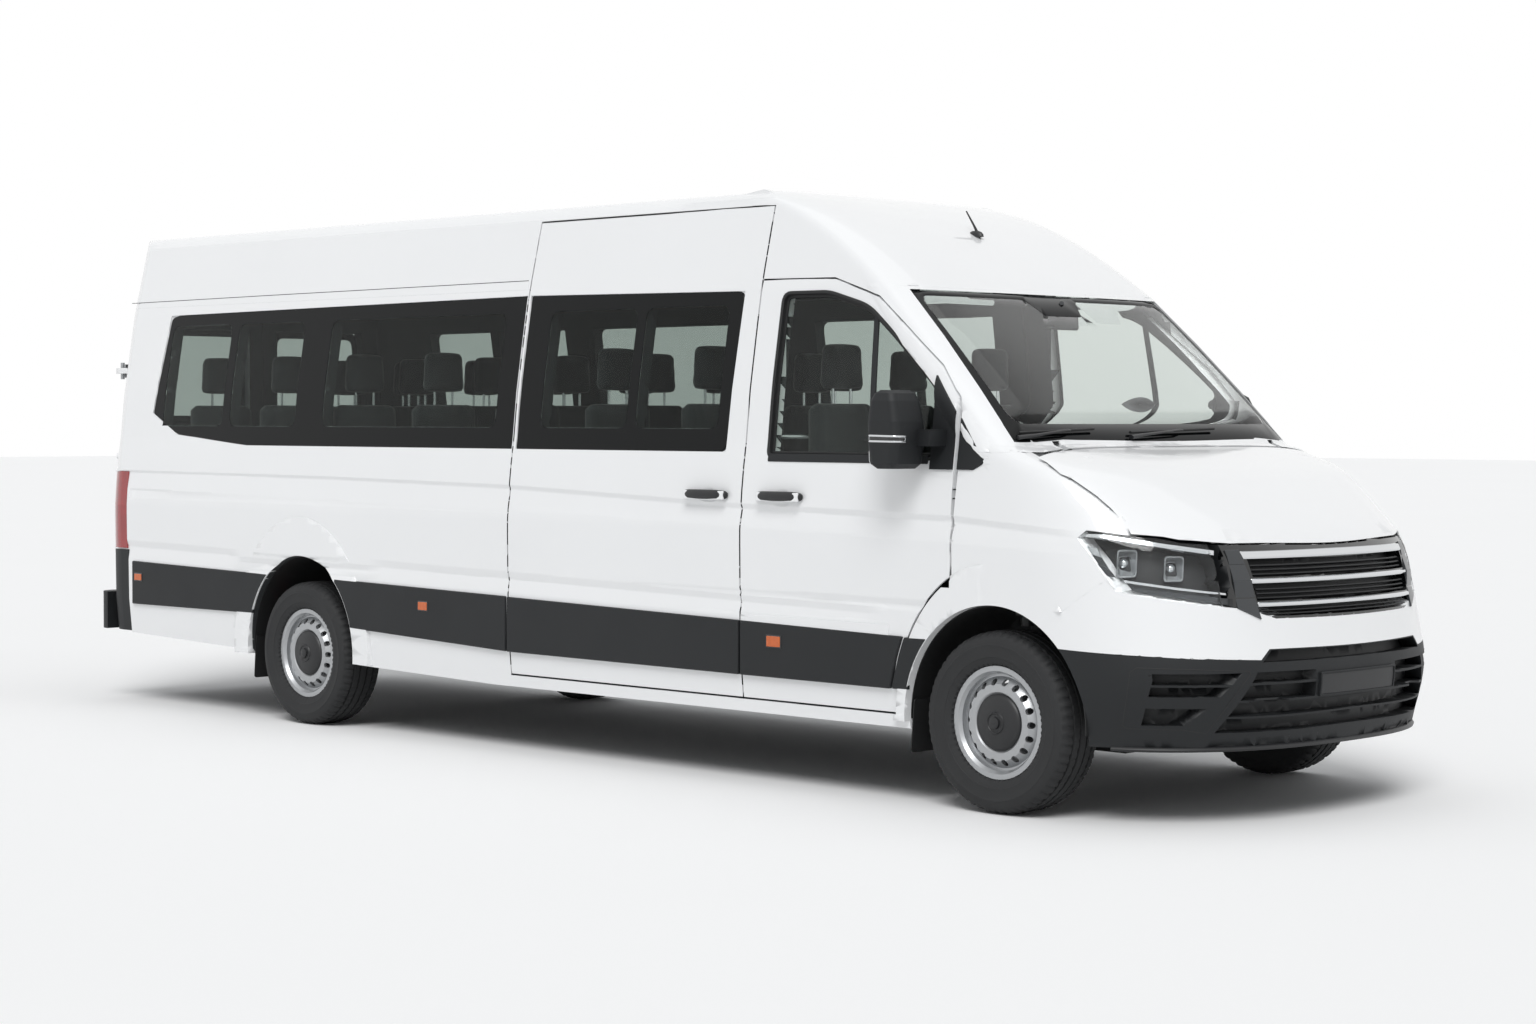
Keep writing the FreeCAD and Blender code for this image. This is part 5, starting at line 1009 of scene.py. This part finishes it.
# %% Grille bars and blades
shapes = []
for low, high, half, lift in ((1.004, 1.032, 0.540, 0.006), (0.913, 0.930, 0.527, 0.0065),
                              (0.826, 0.842, 0.516, 0.0065)):
    bar = rounded([(-half, low), (half, low), (half + 0.003, high), (-half - 0.003, high)], 0.004)
    shapes.append((plate([bar], front, lift, 0.016, step=0.05, edge=0.004), chrome))
for low, high, half, count in ((0.932, 1.000, 0.512, 3), (0.844, 0.910, 0.506, 3), (0.786, 0.826, 0.500, 2)):
    for number in range(1, count + 1):
        middle = low + (high - low) * number / (count + 1)
        blade = square(-half, middle - 0.003, half, middle + 0.003)
        shapes.append((plate([blade], front, -0.010, 0.022, step=0.06, edge=0.0015), bezel))
TOP = 1.036
for high, low, slope in ((TOP, 0.985, 0.10), (0.985, 0.922, -0.14), (0.922, 0.858, 0.16),
                         (0.858, 0.780, -0.10)):
    for sign in (-1, 1):
        inner_high, inner_low = 0.546 - (TOP - high) * 0.12, 0.546 - (TOP - low) * 0.12
        facet = [(sign * inner_low, low), (sign * 0.606, max(low, 0.822)), (sign * 0.606, high),
                 (sign * inner_high, high)]
        lift = tilted(0.0045, (low + high) / 2, slope)
        shapes.append((plate([facet], front, lift, 0.012, step=0.03, edge=0.001), satin))
grille_trim = piece("grille_trim", "body", shapes, "gloss_black")
print(grille_trim.name, len(grille_trim.data.polygons))

# %% [markdown]
# The bumper is one moulding with parts clipped into it. A fine seam round each fog-lamp pod shows that
# joint. The number plate is a blank in a thin frame, and a rolled lip closes the bumper below.

# %% Bumper seams, plate and skid lip
pod = seen([(3.307, -.933, .588), (3.327, -.922, .605), (3.493, -.783, .60), (3.610, -.584, .59),
            (3.500, -.719, .358), (3.445, -.792, .373), (3.284, -.915, .375), (3.268, -.925, .384)], LAMP)
seam = band(rounded(pod, 0.012), lamp_view, [(0.0018, 0.0003), (0.0, 0.0009), (-0.0018, 0.0003)], step=0.03)
blank = rounded(square(-0.255, 0.480, 0.255, 0.572), 0.006)
inner = rounded(square(-0.247, 0.488, 0.247, 0.564), 0.004)
skid_lip = band([(y, 0.292) for y in np.linspace(-0.93, 0.93, 60)], front,
                [(0.006, -0.004), (0.004, 0.006), (-0.004, 0.009), (-0.012, 0.004), (-0.014, -0.006)],
                closed=False, step=0.05)
shapes = [(seam, seal)] + on_left([(seam, seal)])
shapes += [(plate([blank, inner], front, 0.0115, 0.012, step=0.05, edge=0.0015), plastic),
           (plate([inner], front, 0.0075, 0.010, step=0.05, edge=0.001), plastic_smooth),
           (skid_lip, plastic_smooth)]
bumper_trim = piece("bumper_trim", "body", shapes, "black_plastic")
print(bumper_trim.name, len(bumper_trim.data.polygons))

# %% [markdown]
# A tyre is a turned shape: bead, sidewall with its two raised rings, shoulder and tread. The tread has
# four round grooves in its profile and, cut into the shoulders, one slot every six degrees. The rim keeps
# its solid and gets a black centre cap with a stepped boss.

# %% Tyres and centre caps
SLOTS_ROUND, SLOT_SHARE = 60, 0.26  # slots round the tyre, and the share of the way round that they take
SLOT_DEEP, CUT_DEEP = 0.0055, 0.0025
# (radius, distance from the tyre's middle) from the bead outward
outer_wall = [(0.2225, 0.086), (0.229, 0.098), (0.240, 0.105), (0.252, 0.1085), (0.254, 0.1105),
              (0.258, 0.1112), (0.261, 0.1108), (0.285, 0.1165), (0.298, 0.1172), (0.2995, 0.1180),
              (0.3035, 0.1180), (0.305, 0.1165), (0.322, 0.1140), (0.334, 0.1085), (0.343, 0.1010),
              (0.3495, 0.0900), (0.3535, 0.0740)]
tread = [(0.3545, 0.0640), (0.3455, 0.0625), (0.3455, 0.0555), (0.3550, 0.0540), (0.3555, 0.0250),
         (0.3460, 0.0235), (0.3460, 0.0165), (0.3558, 0.0150)]
half = outer_wall + tread
profile = [(r, -a) for r, a in half] + half[::-1]
cap = [(0.0001, 0.036), (0.020, 0.036), (0.023, 0.034), (0.025, 0.026), (0.034, 0.025), (0.037, 0.028),
       (0.041, 0.028), (0.044, 0.023), (0.072, 0.020), (0.098, 0.013), (0.107, 0.008), (0.1115, 0.001),
       (0.1120, -0.006)]


def tread_slots(turn, along):
    """Shoulder slots and small cuts in the ribs, as a change of radius."""
    phase = (turn * SLOTS_ROUND / (2 * math.pi)) % 1
    cut_here = np.where(phase < SLOT_SHARE, 1.0, 0.0)
    shoulder = (np.abs(along) > 0.060) & (np.abs(along) < 0.105)
    rib = (np.abs(along) > 0.024) & (np.abs(along) < 0.0545)
    return -SLOT_DEEP * cut_here * shoulder - CUT_DEEP * np.roll(cut_here, 2, axis=0) * rib


for end, axle_x in (("front", AXLE), ("rear", REAR_AXLE)):
    for name, sign in (("left", 1), ("right", -1)):
        wheel = f"{end}_{name}"
        low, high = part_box(f"tyre_{wheel}")
        middle = (low.y + high.y) / 2
        shape = turned_shape(profile, (axle_x, middle, TYRE), segments=240, wave=tread_slots)
        tyre = piece(f"tyre_treaded_{wheel}", f"wheel_{wheel}", [(shape, rubber)], "tyre_rubber", angle=28,
                     hides=(f"tyre_{wheel}",))
        shape = turned_shape([(r, sign * a) for r, a in cap], (axle_x, middle + sign * 0.078, TYRE),
                             segments=72)
        piece(f"centre_cap_{wheel}", f"wheel_{wheel}", [(shape, plastic_smooth)], "black_plastic")
        print(tyre.name, len(tyre.data.polygons))

# %% [markdown]
# Each seat is foam under woven cloth: a cushion, a back and a headrest on two steel posts. One of each is
# blown up as cloth from a slightly smaller block, so that it crowns in the middle and draws in between its
# corners, and then set in every place. A sewn channel is pressed in afterwards, because the remesh would
# smooth it away.


# %% Seat padding
SEAM = 0.006  # width and depth of a sewn channel
PRESSURE, FRAMES = 4.0, 20  # how hard and how long a block is blown up


def evaluated(block):
    """The mesh of an object as its modifiers leave it."""
    return bpy.data.meshes.new_from_object(block.evaluated_get(bpy.context.evaluated_depsgraph_get()))


def pad(name, size_xyz, corner, voxel, cap, taper=0.0, channels=()):
    """The points and faces of one padded block, centred on the origin."""
    bm = bmesh.new()
    bmesh.ops.create_cube(bm, size=1.0)
    for vert in bm.verts:
        narrow = 1 - taper * (vert.co.z + 0.5)
        vert.co = Vector((vert.co.x * size_xyz[0], vert.co.y * size_xyz[1] * narrow, vert.co.z * size_xyz[2]))
    bmesh.ops.bevel(bm, geom=bm.edges[:], offset=corner, segments=4, profile=0.6, affect="EDGES")
    mesh = bpy.data.meshes.new(name)
    bm.to_mesh(mesh)
    bm.free()
    block = bpy.data.objects.new(name, mesh)
    scene.collection.objects.link(block)
    remesh = block.modifiers.new("remesh", "REMESH")
    remesh.mode = "VOXEL"
    remesh.voxel_size = voxel
    shaped = evaluated(block)
    block.modifiers.clear()
    block.data = shaped
    rest = np.array([vert.co for vert in shaped.vertices])
    cloth = block.modifiers.new("cloth", "CLOTH")
    cloth.settings.use_pressure = True
    cloth.settings.uniform_pressure_force = PRESSURE
    cloth.settings.effector_weights.gravity = 0
    cloth.point_cache.frame_start, cloth.point_cache.frame_end = 1, FRAMES
    for step in range(1, FRAMES + 1):
        scene.frame_set(step)
    move = np.array([vert.co for vert in evaluated(block).vertices]) - rest
    scene.frame_set(1)
    block.modifiers.clear()
    long = np.linalg.norm(move, axis=1, keepdims=True)
    rest = rest + move * np.minimum(1, cap / np.maximum(long, 1e-9))
    shaped.vertices.foreach_set("co", rest.ravel())
    smooth = block.modifiers.new("smooth", "SUBSURF")
    smooth.levels = smooth.render_levels = 1
    fine = evaluated(block)
    points = np.array([vert.co for vert in fine.vertices])
    faces = [list(polygon.vertices) for polygon in fine.polygons]
    bpy.data.objects.remove(block)
    for axis, place, outward, reach in channels:
        near = np.exp(-((np.abs(points[:, axis]) - place) / SEAM) ** 2)
        points[:, outward] -= SEAM * near * (points[:, outward] > reach)
    return points, faces


started = time.time()
cushion = pad("cushion", (0.430, 0.425, 0.086), 0.030, 0.024, 0.012, channels=((1, 0.135, 2, 0.0),))
backrest = pad("backrest", (0.072, 0.415, 0.580), 0.030, 0.026, 0.010, taper=0.10,
               channels=((1, 0.125, 0, 0.0),))
headrest = pad("headrest", (0.070, 0.235, 0.190), 0.030, 0.015, 0.008, taper=0.12)
print("padding", [len(faces) for _, faces in (cushion, backrest, headrest)], "s",
      round(time.time() - started, 1))

# %% [markdown]
# Two seats stand in the cab, then seven rows of three, with the aisle between the single seat and the pair.
# The solids hold all cushions and all backs as two plain nodes, so the first padded seat replaces both of
# them.

# %% Seats in their places
rows = [(AXLE - 1.330, y) for y in (0.490, -0.490)]
rows += [(AXLE - 1.960 - 0.634 * row, y) for row in range(7) for y in (-0.640, 0.190, 0.640)]
posts = [tube([(0, y, -0.05), (0, y, 0.02), (0, y, 0.06)], 0.006, 10, upward=(1, 0, 0))
         for y in (-0.055, 0.055)]
hidden = ("seat_cushions", "seat_backs")
for number, (x, y) in enumerate(rows):
    for label, shape, place in (("cushion", cushion, (x + 0.091 + 0.220, y, 1.0655)),
                                ("back", backrest, (x + 0.046, y, 1.315)),
                                ("headrest", headrest, (x + 0.046, y, 1.752))):
        item = piece(f"seat_{number:02d}_{label}", "body", [(moved(shape, place), fabric)], "seat_fabric",
                     angle=60, hides=hidden)
        hidden = ()
    stand = [(moved(one, (x + 0.046, y, 1.625)), chrome) for one in posts]
    piece(f"seat_{number:02d}_posts", "body", stand, "seat_steel")
print("seats", len(rows))

# %% [markdown]
# The lower sides carry black cladding, proud of the paint and a little higher at the rear. Each door has
# its own length of it, with a chamfer along both edges, and it runs over the flares to the wheel arches.

# %% Side cladding
CLAD = 1.0222  # half width of the cladding's back
ARCH = 0.4405  # half length of a wheel arch
flat_side = onto_plane((0, -CLAD, 0), (1, 0, 0), (0, 0, 1), (0, -1, 0))


def cladding(corners):
    """One length of cladding with chamfered edges."""
    corners = [corner for number, corner in enumerate(corners)
               if math.dist(corner, corners[number - 1]) > 0.014]
    return plate([rounded(corners, 0.006)], flat_side, 0.0, 0.0175, step=0.25, edge=0.004), plastic


def arch_part(x, rise, low, high, sign):
    """Points along the edge of the arch round an axle, on one side of it and between two heights."""
    turns = np.radians(np.linspace(0, 180, 60))
    edge = [(x + ARCH * math.cos(t), TYRE + rise * math.sin(t)) for t in turns]
    return [(u, z) for u, z in edge if low < z < high and (u - x) * sign > 0]


behind = arch_part(REAR_AXLE, 0.4865, 0.537, 0.742, -1)
before = arch_part(REAR_AXLE, 0.4865, 0.506, 0.737, 1)
ahead_of_door = arch_part(AXLE, 0.4555, 0.456, 0.668, -1)
fixed = [cladding([(-3.300, 0.533), (behind[-1][0], 0.537)] + behind[::-1]
                  + [(behind[0][0], 0.742), (-3.300, 0.762)]),
         cladding([(before[0][0], 0.505)] + before
                  + [(before[-1][0], 0.738), (-0.196, 0.714), (-0.196, 0.462)]),
         cladding([(2.190, 0.456), (ahead_of_door[-1][0], 0.457)] + ahead_of_door[::-1]
                  + [(ahead_of_door[0][0], 0.664), (2.256, 0.664), (2.248, 0.650), (2.226, 0.590),
                     (2.206, 0.520)])]
slide = [cladding([(-0.186, 0.461), (1.322, 0.456), (1.322, 0.684), (-0.186, 0.712)])]
door = [cladding([(1.332, 0.456), (2.180, 0.455), (2.196, 0.520), (2.216, 0.590), (2.238, 0.650),
                  (2.246, 0.666), (1.332, 0.684)])]
pair = both_sides("cladding_body", BODY, fixed, "black_plastic", hides=("side_cladding",))
both_sides("cladding_door", DOORS, door, "black_plastic")
both_sides("cladding_slide", BODY, slide, "black_plastic")
print("cladding", [item.name for item in pair])

# %% [markdown]
# Small amber lamps mark the sides at night, one of them on the cab door. A sealed joint runs along the
# roof, where its sheet meets the side, and a rubber flap hangs behind each wheel.

# %% Marker lamps, roof joint line and mud flaps
FRAME = 0.005  # width of the frame round a marker lamp
DOOR_FROM = 1.327  # where the cab door begins
shapes = []
for x, z, wide, high in ((-3.238, 0.678, 0.066, 0.034), (-0.798, 0.640, 0.066, 0.038),
                         (1.533, 0.606, 0.078, 0.044)):
    half, tall = wide / 2, high / 2
    around = square(x - half - FRAME, z - tall - FRAME, x + half + FRAME, z + tall + FRAME)
    pane = square(x - half, z - tall, x + half, z + tall)
    chosen = [(plate([rounded(around, 0.004)], flat_side, 0.0020, 0.003, step=0.3), gloss),
              (plate([rounded(pane, 0.004)], flat_side, 0.0045, 0.004, step=0.3, edge=0.0015), amber)]
    if x > DOOR_FROM:
        both_sides("marker_door", DOORS, chosen, "red_lens")
    else:
        shapes += chosen
both_sides("markers_body", BODY, shapes, "red_lens")
joint = band([(-3.52, 2.148), (-2.20, 2.154), (-0.205, 2.160)], side,
             [(0.0016, 0.0003), (0.0, 0.0008), (-0.0016, 0.0003)], closed=False, step=0.05)
both_sides("roof_joint_line", BODY, [(joint, seal)], "black_plastic")
flap = rounded(square(-0.10, 0.205, 0.10, 0.420), 0.015)
shapes = [(plate([flap], rearward((axle_x - 0.455, -0.885, 0), 0.08), 0.0, 0.006, step=0.1, edge=0.0015),
           seal)
          for axle_x in (AXLE, REAR_AXLE)]
flaps = both_sides("mud_flaps", BODY, shapes, "black_plastic")
print("mud flaps", [item.name for item in flaps])

# %% [markdown]
# A door handle is a black bar that stands off the door. It is swept along the skin, and its ends are drawn
# down to their feet.

# %% Door handles
along = np.array([-0.124, -0.120, -0.110, -0.085, -0.045, 0.0, 0.045, 0.085, 0.110, 0.120, 0.124])
lift = np.array([0.004, 0.012, 0.021, 0.0265, 0.028, 0.0285, 0.028, 0.0265, 0.021, 0.012, 0.004])
thick = np.array([0.010, 0.0165, 0.0195, 0.0205, 0.0208, 0.0208, 0.0208, 0.0205, 0.0195, 0.0165, 0.010])


def handle(x):
    """A handle whose middle is at x."""
    path = side(np.stack([x + along, np.full(len(along), 1.205)], axis=1), lift[:, None])
    return [(tube(path, thick, 16, flat=0.62, upward=(0, -1, 0)), plastic_smooth)]


both_sides("door_handle", DOORS, handle(AXLE - 1.140), "black_plastic", angle=60)
item = piece("slide_handle", "body", handle(AXLE - 1.578), "black_plastic", angle=60)
print(item.name, len(item.data.polygons))

# %% [markdown]
# The mirror's housing stays as the solid. Its glass, the indicator strip with its bright frame, the ribbed
# arm and the fixed corner of the sail, which stays on the wing when the door opens, are added. The strip is
# drawn as seen from ahead and outside, and laid on the housing by rays.

# %% Mirrors
SLANT = math.sqrt(0.5)
onto_mirror = onto_solid("mirror_right", (SLANT, SLANT, 0), (SLANT, -SLANT, 0))
mirror_back = rearward((2.2195, 0, 0))
upper = rounded([(-1.190, 1.430), (-1.045, 1.430), (-1.050, 1.615), (-1.175, 1.615)], 0.03)
lower = rounded([(-1.185, 1.350), (-1.050, 1.350), (-1.048, 1.415), (-1.188, 1.415)], 0.02)
strip = rounded([(0.722, 1.437), (0.875, 1.435), (0.875, 1.462), (0.722, 1.466)], 0.009)
strip_inner = rounded([(0.729, 1.444), (0.866, 1.442), (0.866, 1.455), (0.729, 1.459)], 0.005)
shapes = [(plate([line], mirror_back, 0.0020, 0.004, step=0.2, edge=0.001), silvered)
          for line in (upper, lower)]
shapes += [(plate([strip, strip_inner], onto_mirror, 0.0022, 0.004, step=0.012, edge=0.0012), chrome),
           (plate([strip_inner], onto_mirror, 0.0012, 0.003, step=0.012, edge=0.0008), gloss)]
shapes += [(tube([(2.385, -0.995, z), (2.385, -1.030, z)], 0.0028, 8), plastic_smooth)
           for z in (1.432, 1.446, 1.460, 1.474)]
both_sides("mirror_trim", DOORS, shapes, "gloss_black")
sail = rounded([(2.506, 1.540), (2.640, 1.372), (2.640, 1.356), (2.588, 1.330), (2.506, 1.330)], 0.006)
sails = both_sides("mirror_sail", BODY, [(plate([sail], side, 0.008, 0.0085, step=0.05, edge=0.003),
                                          plastic)],
                   "black_plastic")
print("sails", [item.name for item in sails])

# %% [markdown]
# A wiper is a thin rubber blade and an arm that narrows from its foot, both laid a little above the
# screen's foot. The aerial is a rubber rod on a flattened base. Its height is found by a ray onto the roof.

# %% Wipers, aerial and inner mirror
shapes = []
for foot, tip in ((-0.868, -0.470), (-0.255, 0.330)):
    blade = np.stack([np.linspace(foot, tip, 12), np.linspace(1.468, 1.482, 12)], axis=1)
    shapes.append((tube(front(blade, 0.011), 0.0075, 8, flat=0.7), seal))
    middle = foot * 0.45 + tip * 0.55
    arm = [(foot - 0.02, 1.448), (foot + 0.06, 1.452), (middle, 1.468), (middle + 0.03, 1.474)]
    shapes.append((tube(front(arm, [0.012, 0.020, 0.024, 0.014]), [0.013, 0.009, 0.007, 0.006], 10, flat=0.7),
                   plastic_smooth))
piece("wipers", "body", shapes, "black_plastic")
root = solid_tree("roof").ray_cast(Vector((1.745, 0, 4)), Vector((0, 0, -1)))[0]
base = [(0.0001, 0.022), (0.012, 0.020), (0.022, 0.014), (0.028, 0.005), (0.030, -0.006)]
points, faces = turned_shape([(r * 0.8, z) for r, z in base], (0, 0, 0), axis=2, segments=28)
fin = moved((points * np.array([1.9, 0.8, 1.0]), faces), root)
rod = tube([(0.012, 0, 0.012), (-0.012, 0, 0.050), (-0.052, 0, 0.108)], [0.0065, 0.0045, 0.0030], 10,
           upward=(0, 1, 0))
piece("aerial", "body", [(fin, plastic_smooth), (moved(rod, root), seal)], "black_plastic")
stem = tube([(2.175, 0.06, 2.020), (2.150, 0.09, 1.995), (2.135, 0.10, 1.965)], 0.010, 10, upward=(0, 1, 0))
face = rearward((2.118, 0.10, 1.945), 0.12)
shell = rounded([(-0.115, -0.036), (0.115, -0.036), (0.125, 0.034), (-0.125, 0.034)], 0.02)
shapes = [(stem, trim), (plate([shell], face, 0.0, 0.028, step=0.1, edge=0.008), trim),
          (plate([shifted(shell, -0.008)], face, 0.001, 0.003, step=0.1), silvered)]
piece("inner_mirror", "body", shapes, "trim_grey")
print("roof at the aerial", round(root.z, 3))

# %% [markdown]
# A tail lamp is moulded in three colours, with a strip round its corner in a paler red: painted light,
# standing for the light that shines through the lens from behind. The zones are laid on the lamp's own solid
# by rays, so that they follow its slope. Hinge barrels, a blank number plate, the handle and the reflectors
# are what else one sees from behind.

# %% Tail lamps and rear hardware
back = rearward((-3.6165, 0, 0))
lamp_back = onto_solid("tail_lamps", (0, 1, 0), (-1, 0, 0))
lamp_side = onto_solid("tail_lamps", (1, 0, 0), (0, -1, 0))
bumper_back = onto_solid("rear_bumper", (0, 1, 0), (-1, 0, 0))
shapes = [(plate([rounded(square(-0.955, low, -0.872, high), 0.008)], lamp_back, 0.0015, 0.006, step=0.025,
                 edge=0.002), kind)
          for low, high, kind in ((0.835, 0.905, lamp_white), (0.911, 1.010, amber), (1.016, 1.234, red))]
# the corner strip: red painted pale for the light behind the lens, which is painted light
shapes.append((plate([rounded(square(-3.572, 0.842, -3.546, 1.228), 0.003)], lamp_side, 0.0012, 0.004,
                     step=0.02, edge=0.001), lens_with_painted_light))
both_sides("tail_lamp_zones", BODY, shapes, "red_lens")
shapes = [(tube([(-3.632, -0.862, z - 0.045), (-3.632, -0.862, z + 0.045)], 0.011, 14, upward=(0, 1, 0)),
           steel)
          for z in (0.950, 1.783)]
both_sides("rear_hinges", BODY, shapes, "white_paint")
for name, body, corners, radius, proud, thick, step, edge in (
        ("rear_plate_blank", "back_door_right", (-0.62, 0.905, -0.10, 1.015), 0.008, 0.004, 0.006, 0.3,
         0.0015),
        ("rear_handle", "back_door_left", (0.035, 1.240, 0.085, 1.420), 0.012, 0.020, 0.022, 0.1, 0.006)):
    shape = plate([rounded(square(*corners), radius)], back, proud, thick, step=step, edge=edge)
    piece(name, body, [(shape, plastic_smooth)], "black_plastic")
reflector = rounded(square(-0.93, 0.600, -0.80, 0.645), 0.004)
pair = both_sides("rear_reflectors", BODY, [(plate([reflector], bumper_back, 0.002, 0.006, step=0.03), red)],
                  "red_lens")
print("rear", [item.name for item in pair])

# %% [markdown]
# Two shapes of the cab show through the windscreen: the hood over the instruments, swept along a smooth
# arc, and a flat screen that leans back in the middle of the dashboard.

# %% Cab inside
arc = smooth_path([(2.405, 0.290, 1.372), (2.400, 0.330, 1.410), (2.398, 0.490, 1.432), (2.400, 0.650, 1.410),
                   (2.405, 0.690, 1.372)], 6)
hood = tube(arc, 0.016, 12, flat=1.6, upward=(1, 0, 0))
display = plate([rounded(square(-0.13, -0.06, 0.13, 0.06), 0.008)], rearward((2.300, 0, 1.30), 0.2), 0.004,
                0.010, step=0.2, edge=0.002)
item = piece("dash_details", "body", [(hood, trim), (display, gloss)], "trim_grey")
print(item.name, len(item.data.polygons))

# %% [markdown]
# Where a solid already has the form that is wanted, it stays and only gets its finish: bumper, rims, mirror
# housings, the underside and the cab.

# %% Finishes of the solids that stay
kept = {steel: ("rim_front_left", "rim_front_right", "rim_rear_left", "rim_rear_right"),
        plastic: ("rear_bumper", "fuel_tank", "mirror_left", "mirror_right"), red: ("tail_lamps",),
        seal: ("wheel_liners",), cast: ("engine_block",), alumin: ("exhaust",), flooring: ("floor_pan",),
        trim: ("dashboard", "steering_wheel"),
        chassis: ("chassis_rails", "front_subframe", "rear_axle", "knuckle_left", "knuckle_right",
                  "seat_frames")}
for kind, names in kept.items():
    for node in names:
        for place in nodes[node].material_slots:
            place.material = kind
print("finished nodes", sum(len(names) for names in kept.values()))

# %% [markdown]
# The studio is one wide white floor under a soft even sky. Two very broad suns light near and far floor
# alike, and their large angle makes soft shadows. Rays from the camera, and those that a mirror or glass
# sends out, find pure white as the backdrop, so only a faint step shows where the floor ends.


# %% Studio
REACH = 90  # half the side of the floor, in metres


def soft_sun(name, azimuth, height, wide, strength):
    """A broad soft light from far away, from an azimuth and a height in degrees."""
    data = bpy.data.lights.new(name, "SUN")
    data.angle = math.radians(wide)
    data.energy = strength
    item = bpy.data.objects.new(name, data)
    turn, rise = math.radians(azimuth), math.radians(height)
    away = Vector((math.cos(turn) * math.cos(rise), math.sin(turn) * math.cos(rise), math.sin(rise)))
    item.rotation_euler = away.to_track_quat("Z", "Y").to_euler()
    item.location = away * 20
    scene.collection.objects.link(item)


world = bpy.data.worlds.new("studio")
world.use_nodes = True
tree = world.node_tree
tree.nodes.clear()
path = add(tree, "ShaderNodeLightPath")
seen_ray = add(tree, "ShaderNodeMath", {"operation": "MAXIMUM"}, _0=path.outputs["Is Camera Ray"],
               _1=path.outputs["Is Transmission Ray"])
any_ray = add(tree, "ShaderNodeMath", {"operation": "MAXIMUM"}, _0=seen_ray.outputs["Value"],
              _1=path.outputs["Is Glossy Ray"])
lit = add(tree, "ShaderNodeBackground", Color=(0.96, 0.98, 1.0, 1.0), Strength=0.42)
white = add(tree, "ShaderNodeBackground", Color=(1, 1, 1, 1), Strength=1.0)
both = add(tree, "ShaderNodeMixShader", _0=any_ray.outputs["Value"], _1=lit.outputs["Background"],
           _2=white.outputs["Background"])
add(tree, "ShaderNodeOutputWorld", Surface=both.outputs["Shader"])
scene.world = world
soft_sun("key", -52, 48, 30, 1.80)  # from the right front
soft_sun("top", 100, 80, 60, 0.30)  # from almost overhead
floor_mesh = bpy.data.meshes.new("floor")
floor_mesh.from_pydata([(x, y, 0) for x, y in square(-REACH, -REACH, REACH, REACH)], [], [(0, 1, 2, 3)])
floor = bpy.data.objects.new("floor", floor_mesh)
scene.collection.objects.link(floor)
floor_mesh.materials.append(new_finish("white_studio_floor", "#FBFBFB", tint=("#FAFAFA", "#FCFCFC", 3000),
                                       Roughness=0.9, Specular_IOR_Level=0.1))
scene.view_settings.view_transform = "Standard"
